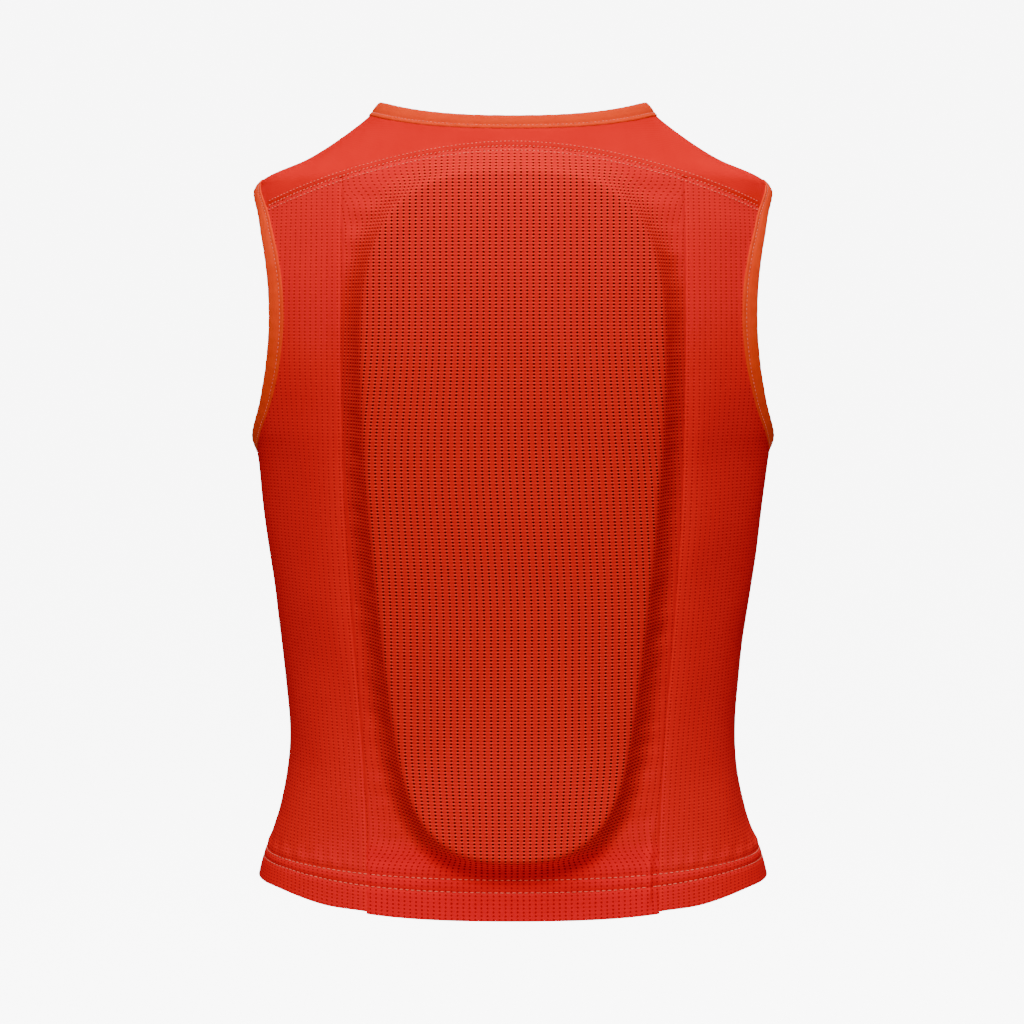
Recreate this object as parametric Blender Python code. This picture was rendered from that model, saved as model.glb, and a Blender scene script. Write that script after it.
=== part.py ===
"""Back-protector vest for a child: a sleeveless shell of mesh and stretch jersey, a foam plate in
a back pocket, bound neck and armholes, and a separating zip down the front.

Metres, +Z up. The hem lies on z = 0, the wearer faces -Y and the wearer's left is +X.
The shell is a tube of superellipse sections: a place on it is an angle round the body
(0 at the left side, +90 degrees at the back, -90 at the front) and a height.
"""
from bisect import bisect_right
import math

import bmesh
import bpy
from mathutils import Matrix, Vector

# Driving dimensions
CLOTH = 0.0012            # thickness of one fabric layer
EDGE_GAP = 0.0002         # each panel stops this short of its seam line
RIDGE_ANGLE = 0.0025      # front and back stop this far from the shoulder line, in radians
BINDING = 0.0080          # width of the neck and armhole bindings
BINDING_THICK = 0.0026    # folded binding, through all its layers
HEM_BAND = 0.0205         # height of the turned and stitched hem

# (height, half-width) down the side of the body and over the shoulder
HALF_WIDTHS = [
    (0.000, 0.1515), (0.020, 0.1470), (0.045, 0.1392), (0.080, 0.1329), (0.120, 0.1341),
    (0.170, 0.1399), (0.220, 0.1458), (0.252, 0.1493), (0.262, 0.1516), (0.270, 0.1545),
    (0.285, 0.1592), (0.300, 0.1650), (0.320, 0.1713), (0.340, 0.1737), (0.360, 0.1708),
    (0.380, 0.1637), (0.395, 0.1563), (0.404, 0.1526), (0.4095, 0.1500), (0.4161, 0.1446),
    (0.4265, 0.1205), (0.4404, 0.0978), (0.4511, 0.0850), (0.462, 0.0751),
]
# (height, depth of the back behind the side line)
BACK_DEPTHS = [
    (0.000, 0.088), (0.050, 0.078), (0.100, 0.0725), (0.170, 0.075), (0.250, 0.083),
    (0.320, 0.087), (0.380, 0.083), (0.420, 0.072), (0.450, 0.053), (0.462, 0.047),
]
FRONT_DEPTH_HEM = 0.0990  # the front's centre line is straight, for the zip
FRONT_LEAN = 0.0500       # how far it leans back for each metre up
CHEST_TOP = 0.385         # above this the front turns in to the neck
CHEST_TURN = 2.4

# Armhole: an ellipse seen from the side
ARMHOLE_MID = 0.3367
ARMHOLE_HALF_HEIGHT = 0.0728
ARMHOLE_BACK = 0.060
ARMHOLE_FRONT = 0.057
ARMHOLE_FABRIC = (-0.0007, 0.0074, 0.0050)  # shift, growth up and growth across, to the fabric's edge

# Neck: heights of the opening's edge at the shoulder, the back and the front
NECK_SHOULDER = 0.460
NECK_BACK = 0.449
NECK_FRONT = 0.380

# Seams
YOKE_SEAM_BACK = 0.4311   # height at the centre of the back
YOKE_SEAM_DROP = 1.12
YOKE_SEAM_POWER = 1.8
YOKE_SEAM_FRONT = 0.395
CENTRE_PANEL_TOP = 0.0963  # half-width of the back's centre panel at the yoke
CENTRE_PANEL_HEM = 0.0834
FRONT_EDGE = 0.0062       # half the gap between the two fronts

# Protector plate
PLATE_LIFT = 0.018        # how far it holds the back's centre panel off the body
PLATE_HALF_WIDTH = 0.0841
PLATE_TOP = 0.4171
PLATE_WIDEST = 0.3055
PLATE_BOTTOM = 0.0320
PLATE_TAPER = 0.32
SLOPE = 0.0140            # width of the panel's slope beside the plate
FOAM_SPLIT = 0.0080       # height of the joint between the two foam layers

# Pocket, inside the back
LINING_TOP = 0.372
FLAP_HALF_WIDTH = 0.056
FLAP_LOW = 0.350
FLAP_TOP = 0.400
HEADER_LOW = 0.3985
STRIP_LOW = 0.3555        # hook and loop strips
STRIP_HIGH = 0.3695
STRIP_HALF_WIDTH = 0.050
FLAP_AXIS_DOWN = 0.001    # the flap turns about a line this far below its top edge
FLAP_AXIS_IN = 0.0092     # and this far inside the shell, level with the flap's two ends

# Zip, in its own frame: x across, y inwards, z up along the zip
ZIP_LENGTH = 0.3660
ZIP_START = 0.0040
COIL = (0.0005, 0.0030)   # from and to, across
COIL_DEPTH = (-0.0004, 0.0016)
TAPE = (0.0010, 0.0150)
TAPE_DEPTH = (0.0019, 0.0026)
SLIDER_LENGTH = 0.0110
SLIDER_MID = 0.3580       # the slider's middle with the zip shut
HINGE_OUT = 0.0030        # the pull's pin, outwards from the body's surface
STOP_ACROSS = (0.0005, 0.0036)
PIN_ACROSS = (0.0007, 0.0026)
PIN_DEPTH = (0.0001, 0.0014)
PIN_TOP = 0.0200
GUARD_BELOW_TOP = 0.034   # the chin guard's length below the end of the zip
GUARD_ACROSS = (0.0006, 0.0155)
GUARD_DEPTH = (0.0046, 0.0056)


def blend(t):
    """0 to 1 with level ends."""
    t = min(max(t, 0.0), 1.0)
    return t * t * (3 - 2 * t)


def through(stations, at):
    """A smooth curve through (height, value) stations."""
    heights = [s[0] for s in stations]
    last = len(stations) - 1
    i = min(max(bisect_right(heights, at) - 1, 0), last - 1)

    def slope(k):
        low, high = max(k - 1, 0), min(k + 1, last)
        return (stations[high][1] - stations[low][1]) / (heights[high] - heights[low])

    step = heights[i + 1] - heights[i]
    t = (at - heights[i]) / step
    start, end = stations[i][1], stations[i + 1][1]
    return (
        (2 * t**3 - 3 * t**2 + 1) * start + (t**3 - 2 * t**2 + t) * step * slope(i)
        + (3 * t**2 - 2 * t**3) * end + (t**3 - t**2) * step * slope(i + 1)
    )


def half_width(z):
    return through(HALF_WIDTHS, z)


def depth(z, back):
    if back:
        return through(BACK_DEPTHS, z)
    return FRONT_DEPTH_HEM - FRONT_LEAN * z - CHEST_TURN * max(0.0, z - CHEST_TOP) ** 2


def squareness(z):
    """Power of the section's superellipse: nearly an ellipse at the hem, squarer at the chest."""
    return 2.10 + 0.25 * blend(z / 0.3)


def field(x, y, z):
    n = squareness(z)
    return (abs(x) / half_width(z)) ** n + (abs(y) / depth(z, y >= 0)) ** n


def outward(x, y, z):
    """The shell's outward direction at a point on it."""
    step = 0.0005
    n, a, b = squareness(z), half_width(z), depth(z, y >= 0)
    rise = (field(x, y, z + step) - field(x, y, z - step)) / (2 * step)
    return Vector((
        math.copysign(n * (abs(x) / a) ** (n - 1) / a, x),
        math.copysign(n * (abs(y) / b) ** (n - 1) / b, y),
        rise,
    )).normalized()


def shell(angle, z, lift=0.0):
    """The point at an angle and a height, lifted off the shell's outer face."""
    n = squareness(z)
    c, s = math.cos(angle), math.sin(angle)
    x = math.copysign(half_width(z) * abs(c) ** (2 / n), c)
    y = math.copysign(depth(z, s >= 0) * abs(s) ** (2 / n), s)
    return Vector((x, y, z)) + lift * outward(x, y, z)


def angle_at_x(x, z):
    """The back's angle where the shell is x from the middle."""
    return math.acos(min(abs(x) / half_width(z), 1.0) ** (squareness(z) / 2))


def angle_at_y(y, z):
    share = min(abs(y) / depth(z, y >= 0), 1.0)
    return math.copysign(math.asin(share ** (squareness(z) / 2)), y)


def back_y(x, z):
    """Where the bare back is, at x and z."""
    n = squareness(z)
    return depth(z, True) * (1 - min(abs(x) / half_width(z), 1.0) ** n) ** (1 / n)


# Lines on the shell

def armhole(k, turn, back):
    """Angle and height on the armhole: k = 0 at the opening, 1 at the fabric's edge."""
    shift, up, across = ARMHOLE_FABRIC
    z = ARMHOLE_MID + k * shift + (ARMHOLE_HALF_HEIGHT + k * up) * math.sin(turn)
    reach = (ARMHOLE_BACK if back else ARMHOLE_FRONT) + k * across
    y = reach * max(math.cos(turn), 0.0) * (1 if back else -1)
    return angle_at_y(y, z), z


def outer_edge(z, back):
    """Angle of a body panel's outer edge: the side seam, and above it the armhole."""
    shift, up, across = ARMHOLE_FABRIC
    level = min(abs(z - ARMHOLE_MID - shift) / (ARMHOLE_HALF_HEIGHT + up), 1.0)
    reach = (ARMHOLE_BACK if back else ARMHOLE_FRONT) + across
    y = max(reach * math.sqrt(1 - level**2), EDGE_GAP)
    return angle_at_y(y if back else -y, z)


def neck(k, turn, back):
    """Angle and height on the neck's edge, from the shoulder (turn 0) to the middle (turn 90)."""
    shoulder = NECK_SHOULDER - k * BINDING
    if back:
        low = NECK_BACK - k * BINDING
        return turn, low + (shoulder - low) * math.cos(turn) ** 2
    low = NECK_FRONT - k * BINDING
    z = shoulder - (shoulder - low) * math.sin(turn)
    return -angle_at_x(half_width(shoulder) * math.cos(turn), z), z


def yoke_seam(x):
    return YOKE_SEAM_BACK - YOKE_SEAM_DROP * abs(x) ** YOKE_SEAM_POWER


def centre_seam(z):
    return CENTRE_PANEL_HEM + (CENTRE_PANEL_TOP - CENTRE_PANEL_HEM) * blend(z / 0.26)


# Meshes

def add_object(name, mesh, colour, roughness, metallic=0.0, smooth=True):
    material = bpy.data.materials.new(name)
    material.use_nodes = True
    shader = material.node_tree.nodes["Principled BSDF"]
    shader.inputs["Base Color"].default_value = (*colour, 1.0)
    shader.inputs["Roughness"].default_value = roughness
    shader.inputs["Metallic"].default_value = metallic
    mesh.materials.append(material)
    if smooth:
        mesh.shade_smooth()
        mesh.set_sharp_from_angle(angle=math.radians(40))
    piece = bpy.data.objects.new(name, mesh)
    bpy.context.scene.collection.objects.link(piece)
    return piece


def mesh_of(name, bm):
    mesh = bpy.data.meshes.new(name)
    bm.to_mesh(mesh)
    bm.free()
    return mesh


def mirrored(points, side):
    return [Vector((side * p.x, p.y, p.z)) for p in points]


def sheet(name, rows, look, thickness=CLOTH, centred=False):
    """A cloth piece from rows of points on its outer face, solid by a Solidify modifier."""
    bm = bmesh.new()
    grid = [[bm.verts.new(p) for p in row] for row in rows]
    for low, high in zip(grid, grid[1:]):
        for a, b, c, d in zip(low, low[1:], high[1:], high):
            bm.faces.new((a, b, c, d))
    bm.normal_update()
    face_out(bm)
    piece = add_object(name, mesh_of(name, bm), *look)
    solid = piece.modifiers.new("thickness", "SOLIDIFY")
    solid.thickness = thickness
    solid.offset = 0.0 if centred else -1.0
    return piece


def face_out(bm):
    """Turn a shell piece's faces so that they look away from the body."""
    total = sum(
        f.normal.dot(Vector((f.calc_center_median().x, f.calc_center_median().y, 0.02)))
        * f.calc_area()
        for f in bm.faces
    )
    if total < 0:
        bmesh.ops.reverse_faces(bm, faces=bm.faces[:])


def block(name, low, high, look, parent=None, bevel=0.0):
    """A box between two corners, in its parent's frame."""
    bm = bmesh.new()
    bmesh.ops.create_cube(bm, size=1.0)
    low, high = Vector(low), Vector(high)
    size = high - low
    bmesh.ops.scale(bm, vec=size, verts=bm.verts)
    bmesh.ops.translate(bm, vec=(low + high) / 2, verts=bm.verts)
    if bevel:
        bmesh.ops.bevel(bm, geom=bm.edges[:], offset=bevel, segments=1, affect="EDGES")
    piece = add_object(name, mesh_of(name, bm), *look, smooth=False)
    piece.parent = parent
    return piece


def spread(low, high, count):
    return [low + (high - low) * i / count for i in range(count + 1)]


# Fabric looks: colour, roughness
MESH_CLOTH = ((0.80, 0.055, 0.015), 0.75)
JERSEY = ((0.86, 0.085, 0.035), 0.60)
BINDING_CLOTH = ((0.80, 0.12, 0.035), 0.55)
ELASTIC = ((0.55, 0.03, 0.01), 0.80)
FOAM = ((0.03, 0.03, 0.035), 0.90)
TAPE_CLOTH = ((0.70, 0.05, 0.015), 0.80)
COIL_PLASTIC = ((0.75, 0.07, 0.02), 0.35)
ZINC = ((0.45, 0.45, 0.47), 0.35, 1.0)
HOOKS = ((0.05, 0.05, 0.05), 0.85)


def body_panel(name, side, back, inner, top, look, rows=(8, 13), columns=6):
    """A panel from the hem to its top seam, between the outer edge and an inner line.

    Above the underarm its rows lie at even turns round the armhole.
    """
    shift, up, _ = ARMHOLE_FABRIC
    corner = ARMHOLE_MID + shift - ARMHOLE_HALF_HEIGHT - up
    last_turn = math.radians(145)
    tops = [top(column) for column in spread(0.0, 1.0, columns)]
    rises = [(1 - math.cos(last_turn * i / rows[1])) / (1 - math.cos(last_turn))
             for i in range(1, rows[1] + 1)]
    levels = [0.0, HEM_BAND / 2] + spread(HEM_BAND, corner, rows[0])
    heights = [[z] * (columns + 1) for z in levels]
    heights += [[corner + (high - corner) * rise for high in tops] for rise in rises]
    points = []
    for row in heights:
        line = []
        for column, z in zip(spread(0.0, 1.0, columns), row):
            out, far = outer_edge(z, back), inner(z)
            line.append(shell(out + (far - out) * column, z))
        points.append(mirrored(line, side))
    return sheet(name, points, look)


def side_panel(side, name):
    """From the side seam to the back's centre panel, up to the yoke."""

    def inner(z):
        return angle_at_x(centre_seam(z) + EDGE_GAP, z)

    def top(column):
        z = YOKE_SEAM_BACK
        for _ in range(12):
            out = outer_edge(z, True)
            x = shell(out + (inner(z) - out) * column, z).x
            z = yoke_seam(x) - EDGE_GAP
        return z

    return body_panel(name, side, True, inner, top, MESH_CLOTH)


def front_panel(side, name):
    """From the side seam to the zip, up to the front yoke and the neck."""

    def inner(z):
        return -angle_at_x(FRONT_EDGE, z)

    def neckline(x):
        shoulder, low = NECK_SHOULDER - BINDING, NECK_FRONT - BINDING
        share = min(x / half_width(shoulder), 1.0)
        return shoulder - (shoulder - low) * math.sqrt(1 - share**2)

    def top(column):
        low, high = 0.3, YOKE_SEAM_FRONT
        for _ in range(30):
            z = (low + high) / 2
            out = outer_edge(z, False)
            x = shell(out + (inner(z) - out) * column, z).x
            if z < neckline(x):
                low = z
            else:
                high = z
        return low - EDGE_GAP

    return body_panel(name, side, False, inner, top, MESH_CLOTH, columns=11)


def yoke_corner():
    """The turn round the armhole where the back yoke's seam meets it."""
    low, high = 0.0, math.pi / 2
    for _ in range(40):
        turn = (low + high) / 2
        angle, z = armhole(1.0, turn, True)
        if z < yoke_seam(shell(angle, z).x) + EDGE_GAP:
            low = turn
        else:
            high = turn
    return high


def yoke_bottom(share):
    """Half the back yoke's lower edge: down the armhole to the seam, then to the middle."""
    corner_turn = yoke_corner()
    armhole_share = 0.25
    if share <= armhole_share:
        turn = math.pi / 2 + (corner_turn - math.pi / 2) * share / armhole_share
        angle, z = armhole(1.0, turn, True)
        return max(angle, RIDGE_ANGLE), z
    angle, z = armhole(1.0, corner_turn, True)
    x = shell(angle, z).x * (1 - (share - armhole_share) / (1 - armhole_share))
    z = yoke_seam(x) + EDGE_GAP
    return angle_at_x(x, z), z


def back_yoke():
    shares = spread(0.0, 1.0, 16)
    half = []
    for share in shares:
        low_angle, low_z = yoke_bottom(share)
        high_angle, high_z = neck(1.0, max(share * math.pi / 2, RIDGE_ANGLE), True)
        high_z -= EDGE_GAP
        half.append([
            shell(low_angle + (high_angle - low_angle) * t, low_z + (high_z - low_z) * t)
            for t in spread(0.0, 1.0, 5)
        ])
    other = [mirrored(column, -1) for column in reversed(half[:-1])]
    return sheet("back_yoke", half + other, JERSEY)


def front_yoke(side, name):
    """From the shoulder line forward to the front yoke seam."""
    shift, up, _ = ARMHOLE_FABRIC
    level = (YOKE_SEAM_FRONT + EDGE_GAP - ARMHOLE_MID - shift) / (ARMHOLE_HALF_HEIGHT + up)
    outer_turn = math.asin(level)
    shoulder, low = NECK_SHOULDER - BINDING, NECK_FRONT - BINDING
    inner_turn = math.asin((shoulder - YOKE_SEAM_FRONT) / (shoulder - low))
    columns = []
    for share in spread(0.0, 1.0, 8):
        turn = math.pi / 2 + (outer_turn - math.pi / 2) * share
        out_angle, out_z = armhole(1.0, turn, False)
        in_angle, in_z = neck(1.0, inner_turn * share, False)
        out_angle, in_angle = min(out_angle, -RIDGE_ANGLE), min(in_angle, -RIDGE_ANGLE)
        in_z -= EDGE_GAP * (1 - share)
        out_z, in_z = max(out_z, YOKE_SEAM_FRONT + EDGE_GAP), max(in_z, YOKE_SEAM_FRONT + EDGE_GAP)
        columns.append(mirrored([
            shell(out_angle + (in_angle - out_angle) * t, out_z + (in_z - out_z) * t)
            for t in spread(0.0, 1.0, 6)
        ], side))
    return sheet(name, columns, JERSEY)


# Bindings: bands along the openings, as thick as the folded cloth

BAND_SHARES = (0.0, 0.5, 0.90)


def armhole_binding(side, back, name):
    columns = []
    for turn in spread(-math.pi / 2, math.pi / 2, 18):
        column = []
        for k in BAND_SHARES:
            angle, z = armhole(k, turn, back)
            angle = max(angle, RIDGE_ANGLE) if back else min(angle, -RIDGE_ANGLE)
            column.append(shell(angle, z, -CLOTH / 2))
        columns.append(mirrored(column, side))
    return sheet(name, columns, BINDING_CLOTH, BINDING_THICK, centred=True)


def neck_binding(side, name):
    """Side 0 is the band round the back; 1 and -1 run forward to the zip."""
    columns = []
    if side == 0:
        for turn in spread(-1.0, 1.0, 20):
            half = []
            for k in BAND_SHARES:
                angle, z = neck(k, (1 - abs(turn)) * math.pi / 2, True)
                half.append(shell(max(angle, RIDGE_ANGLE), z, -CLOTH / 2))
            columns.append(mirrored(half, -1 if turn < 0 else 1))
    else:
        end = math.acos(FRONT_EDGE / half_width(NECK_SHOULDER))
        for turn in spread(0.0, end, 14):
            column = []
            for k in BAND_SHARES:
                angle, z = neck(k, turn, False)
                column.append(shell(min(angle, -RIDGE_ANGLE), z, -CLOTH / 2))
            columns.append(mirrored(column, side))
    return sheet(name, columns, BINDING_CLOTH, BINDING_THICK, centred=True)


def hem_elastic(side, name):
    """Elastic inside the turned hem; side 0 runs round the back."""
    if side == 0:
        angles = spread(RIDGE_ANGLE, math.pi - RIDGE_ANGLE, 24)
    else:
        angles = [-a for a in spread(RIDGE_ANGLE, angle_at_x(0.0165, 0.01), 12)]
    rows = [
        mirrored([shell(a, z, -CLOTH - 0.0007) for a in angles], side or 1)
        for z in (0.0, HEM_BAND / 2, HEM_BAND)
    ]
    return sheet(name, rows, ELASTIC, thickness=0.0010)


# Protector and its pocket

def plate_half_width(z):
    """Half the plate's width at a height: a round top, a taper and rounded lower corners."""
    if z >= PLATE_WIDEST:
        v = (z - PLATE_WIDEST) / (PLATE_TOP - PLATE_WIDEST)
        return PLATE_HALF_WIDTH * max(1 - v**3, 0.0) ** (1 / 3)
    v = (PLATE_WIDEST - z) / (PLATE_WIDEST - PLATE_BOTTOM)
    return PLATE_HALF_WIDTH * (1 - PLATE_TAPER * v**1.6) * max(1 - v**14, 0.0) ** 0.4


def plate_edge(centre_z, direction):
    """Where a line from the plate's middle line leaves the plate, in x and z."""
    low, high = 0.0, 0.3
    for _ in range(40):
        reach = (low + high) / 2
        x, z = reach * direction[0], centre_z + reach * direction[1]
        inside = PLATE_BOTTOM < z < PLATE_TOP and abs(x) < plate_half_width(z)
        low, high = (reach, high) if inside else (low, reach)
    return low * direction[0], centre_z + low * direction[1]


def plate_outline(count=96):
    points = []
    for i in range(count):
        turn = 2 * math.pi * i / count
        centre_z = (PLATE_TOP + PLATE_BOTTOM) / 2 + 0.13 * math.sin(turn)
        points.append(plate_edge(centre_z, (math.cos(turn), math.sin(turn))))
    return points


PLATE_POINTS = plate_outline()


def beside_plate(x, z):
    """Distance outside the plate's edge, 0 on the plate."""
    if PLATE_BOTTOM < z < PLATE_TOP and abs(x) <= plate_half_width(z):
        return 0.0
    spot, best = Vector((x, z)), 1.0
    for i, end in enumerate(PLATE_POINTS):
        start, end = Vector(PLATE_POINTS[i - 1]), Vector(end)
        along = end - start
        t = min(max((spot - start).dot(along) / along.length_squared, 0.0), 1.0)
        best = min(best, (spot - start - t * along).length)
    return best


def panel_lift(x, z):
    """How far the stretched centre panel stands off the bare back."""
    return PLATE_LIFT * max(1 - beside_plate(x, z) / SLOPE, 0.0) ** 2


def centre_border():
    """The centre panel's border, as x and z, from the middle of its top round by the left."""
    top_corner = yoke_seam(CENTRE_PANEL_TOP) - EDGE_GAP
    half = []
    for x in spread(0.0, CENTRE_PANEL_TOP - EDGE_GAP, 6):
        half.append((x, yoke_seam(x) - EDGE_GAP))
    for z in spread(top_corner, 0.0, 15)[1:]:
        half.append((centre_seam(z) - EDGE_GAP, z))
    for x in spread(CENTRE_PANEL_HEM - EDGE_GAP, 0.0, 5)[1:]:
        half.append((x, 0.0))
    return half + [(-x, z) for x, z in reversed(half[1:-1])]


def rings_on_back(border, inner_shares, outer_shares, reach, surface):
    """Rings of points from the plate's middle line out to its edge and on to the border."""
    rings = [[] for _ in inner_shares + outer_shares]
    for x, z in border:
        centre_z = min(max(z, 0.09), 0.35)
        span = Vector((x, z - centre_z))
        edge_x, edge_z = plate_edge(centre_z, span.normalized())
        edge = Vector((edge_x, edge_z - centre_z))
        edge += span.normalized() * reach
        for ring, share in zip(rings, inner_shares):
            spot = edge * share
            ring.append(surface(spot.x, centre_z + spot.y))
        for ring, share in zip(rings[len(inner_shares):], outer_shares):
            spot = edge.lerp(span, share)
            ring.append(surface(spot.x, centre_z + spot.y))
    return rings


def ring_faces(bm, rings):
    """Join rings of points with faces; the first ring is closed up across the middle line."""
    loops = [[bm.verts.new(p) for p in ring] for ring in rings]
    count = len(loops[0])
    for inner, outer in zip(loops, loops[1:]):
        for i in range(count):
            j = (i + 1) % count
            bm.faces.new((inner[i], inner[j], outer[j], outer[i]))
    half = count // 2
    first = loops[0]
    for i in range(half):
        right, right_next = first[-i], first[-(i + 1)]
        corners = []
        for corner in (first[i], first[i + 1], right_next, right):
            if corner not in corners:
                corners.append(corner)
        bm.faces.new(corners)
    return loops


def back_outer_panel():
    """The pocket's outer face: stretched over the plate, crisp at the plate's edge."""

    def surface(x, z):
        return Vector((x, back_y(x, z) + panel_lift(x, z), z))

    bm = bmesh.new()
    rings = rings_on_back(
        centre_border(), [0.3, 0.7, 1.0], [0.14, 0.32, 0.6, 1.0], 0.0, surface
    )
    ring_faces(bm, rings)
    bmesh.ops.recalc_face_normals(bm, faces=bm.faces[:])
    bm.normal_update()
    face_out(bm)
    piece = add_object("back_outer_panel", mesh_of("back_outer_panel", bm), *MESH_CLOTH)
    solid = piece.modifiers.new("thickness", "SOLIDIFY")
    solid.thickness = CLOTH
    solid.offset = -1.0
    return piece


def foam_layer(name, low, high, reach):
    """One curved layer of the plate, between two distances off the bare back."""
    bm = bmesh.new()
    faces = []
    for lift, inset in ((low, 0.0), (high, 0.0012)):

        def surface(x, z, lift=lift):
            return Vector((x, back_y(x, z) + lift, z))

        loops = ring_faces(
            bm, rings_on_back(centre_border(), [0.3, 0.7, 1.0], [], reach - inset, surface)
        )
        faces.append(loops[-1])
    count = len(faces[0])
    for i in range(count):
        j = (i + 1) % count
        bm.faces.new((faces[0][i], faces[0][j], faces[1][j], faces[1][i]))
    bmesh.ops.recalc_face_normals(bm, faces=bm.faces[:])
    return add_object(name, mesh_of(name, bm), *FOAM)


def inner_sheet(name, half_width_at, low, high, lift, look, thickness, rows, columns=12):
    """A sheet on the inside of the back, lift below the shell's outer face, up to a height at each x."""
    top = high if callable(high) else lambda x: high
    points = []
    for share in spread(0.0, 1.0, rows):
        reach = half_width_at(low + share * (top(0.0) - low))
        row = []
        for x in spread(-reach, reach, columns):
            z = low + share * (top(x) - low)
            turn = math.copysign(angle_at_x(x, z) - math.pi / 2, -x) if x else 0.0
            row.append(shell(math.pi / 2 + turn, z, lift))
        points.append(row)
    return sheet(name, points, look, thickness)


def to_seam(z):
    return centre_seam(z) - 2 * EDGE_GAP


def inside_seam(z):
    return centre_seam(z) - 0.006


def header_top(x):
    """The header is sewn in with the back yoke's seam."""
    return yoke_seam(x) - 0.0010


def flap_width(_):
    return FLAP_HALF_WIDTH


def strip_width(_):
    return STRIP_HALF_WIDTH


def pocket():
    """The pocket's inner face, its header above the mouth, and the strip the flap closes on."""
    lining_low = HEM_BAND + 0.001
    inner_sheet("pocket_lining", to_seam, lining_low, LINING_TOP, -0.0017, MESH_CLOTH, 0.001, 16)
    inner_sheet("pocket_header", inside_seam, HEADER_LOW, header_top, -0.0026, JERSEY, 0.001, 6, 18)
    inner_sheet("loop_strip", strip_width, STRIP_LOW, STRIP_HIGH, -0.0031, HOOKS, 0.0008, 1)


def pocket_flap():
    """The flap over the pocket's mouth, hanging from a line along X, with its hook strip."""
    height = FLAP_TOP - FLAP_AXIS_DOWN
    pivot = bpy.data.objects.new("flap_pivot", None)
    pivot.location = (0.0, depth(height, True) - FLAP_AXIS_IN, height)
    bpy.context.scene.collection.objects.link(pivot)
    flap = inner_sheet("pocket_flap", flap_width, FLAP_LOW, FLAP_TOP, -0.0053, JERSEY, 0.001, 3)
    hooks = inner_sheet("hook_strip", strip_width, STRIP_LOW, STRIP_HIGH, -0.0043, HOOKS, 0.0007, 1)
    for piece in (flap, hooks):
        piece.parent = pivot
        piece.matrix_parent_inverse = Matrix.Translation(pivot.location).inverted()


# Zip

def zip_frame():
    """An empty at the foot of the zip: x across, y inwards, z along the zip."""
    empty = bpy.data.objects.new("zip_line", None)
    empty.location = (0.0, -FRONT_DEPTH_HEM, 0.0)
    empty.rotation_euler = (-math.atan(FRONT_LEAN), 0.0, 0.0)
    bpy.context.scene.collection.objects.link(empty)
    return empty


def across(side, span):
    low, high = sorted((side * span[0], side * span[1]))
    return low, high


def zip_half(frame, side, label):
    """A tape, its coil and the stop at its top."""
    top = ZIP_START + ZIP_LENGTH
    parts = [
        ("tape", TAPE, TAPE_DEPTH, ZIP_START, top + 0.0015, TAPE_CLOTH, 0.0),
        ("coil", COIL, COIL_DEPTH, PIN_TOP + 0.0005, top - 0.0035, COIL_PLASTIC, 0.0004),
        ("top_stop", STOP_ACROSS, (-0.0008, 0.0016), top - 0.0030, top, ZINC, 0.0003),
    ]
    for kind, width, levels, start, end, look, bevel in parts:
        low, high = across(side, width)
        block(
            f"zip_{kind}_{label}", (low, levels[0], start), (high, levels[1], end), look, frame,
            bevel=bevel,
        )


def zip_end(frame):
    """The retainer box on the right tape, its own pin, and the left tape's pin that goes in."""
    for name, side, start in (("zip_insertion_pin", 1, 0.0075), ("zip_box_pin", -1, 0.0134)):
        low, high = across(side, PIN_ACROSS)
        block(
            name, (low, PIN_DEPTH[0], start), (high, PIN_DEPTH[1], PIN_TOP), ZINC, frame,
            bevel=0.0002,
        )
    box = block("zip_retainer_box", (-0.0042, -0.0012, 0.0045), (0.0042, 0.0016, 0.0130), ZINC, frame)
    socket = block("pin_socket", (0.0004, -0.0002, 0.0072), (0.0029, 0.0030, PIN_TOP), ZINC, frame)
    socket.hide_render = True
    socket.display_type = "WIRE"
    cut = box.modifiers.new("socket", "BOOLEAN")
    cut.object = socket


def extrude_outline(name, outline, low, high, axis, look, parent):
    """A prism: a closed outline in a plane, pushed from low to high along an axis."""
    bm = bmesh.new()

    def spot(u, v, w):
        return {"x": (w, u, v), "y": (u, w, v)}[axis]

    face = bm.faces.new([bm.verts.new(spot(u, v, low)) for u, v in outline])
    push = bmesh.ops.extrude_face_region(bm, geom=[face])
    moved = [g for g in push["geom"] if isinstance(g, bmesh.types.BMVert)]
    shift = Vector(spot(0.0, 0.0, high - low))
    bmesh.ops.translate(bm, vec=shift, verts=moved)
    bmesh.ops.recalc_face_normals(bm, faces=bm.faces[:])
    piece = add_object(name, mesh_of(name, bm), *look, smooth=False)
    piece.parent = parent
    return piece


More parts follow.
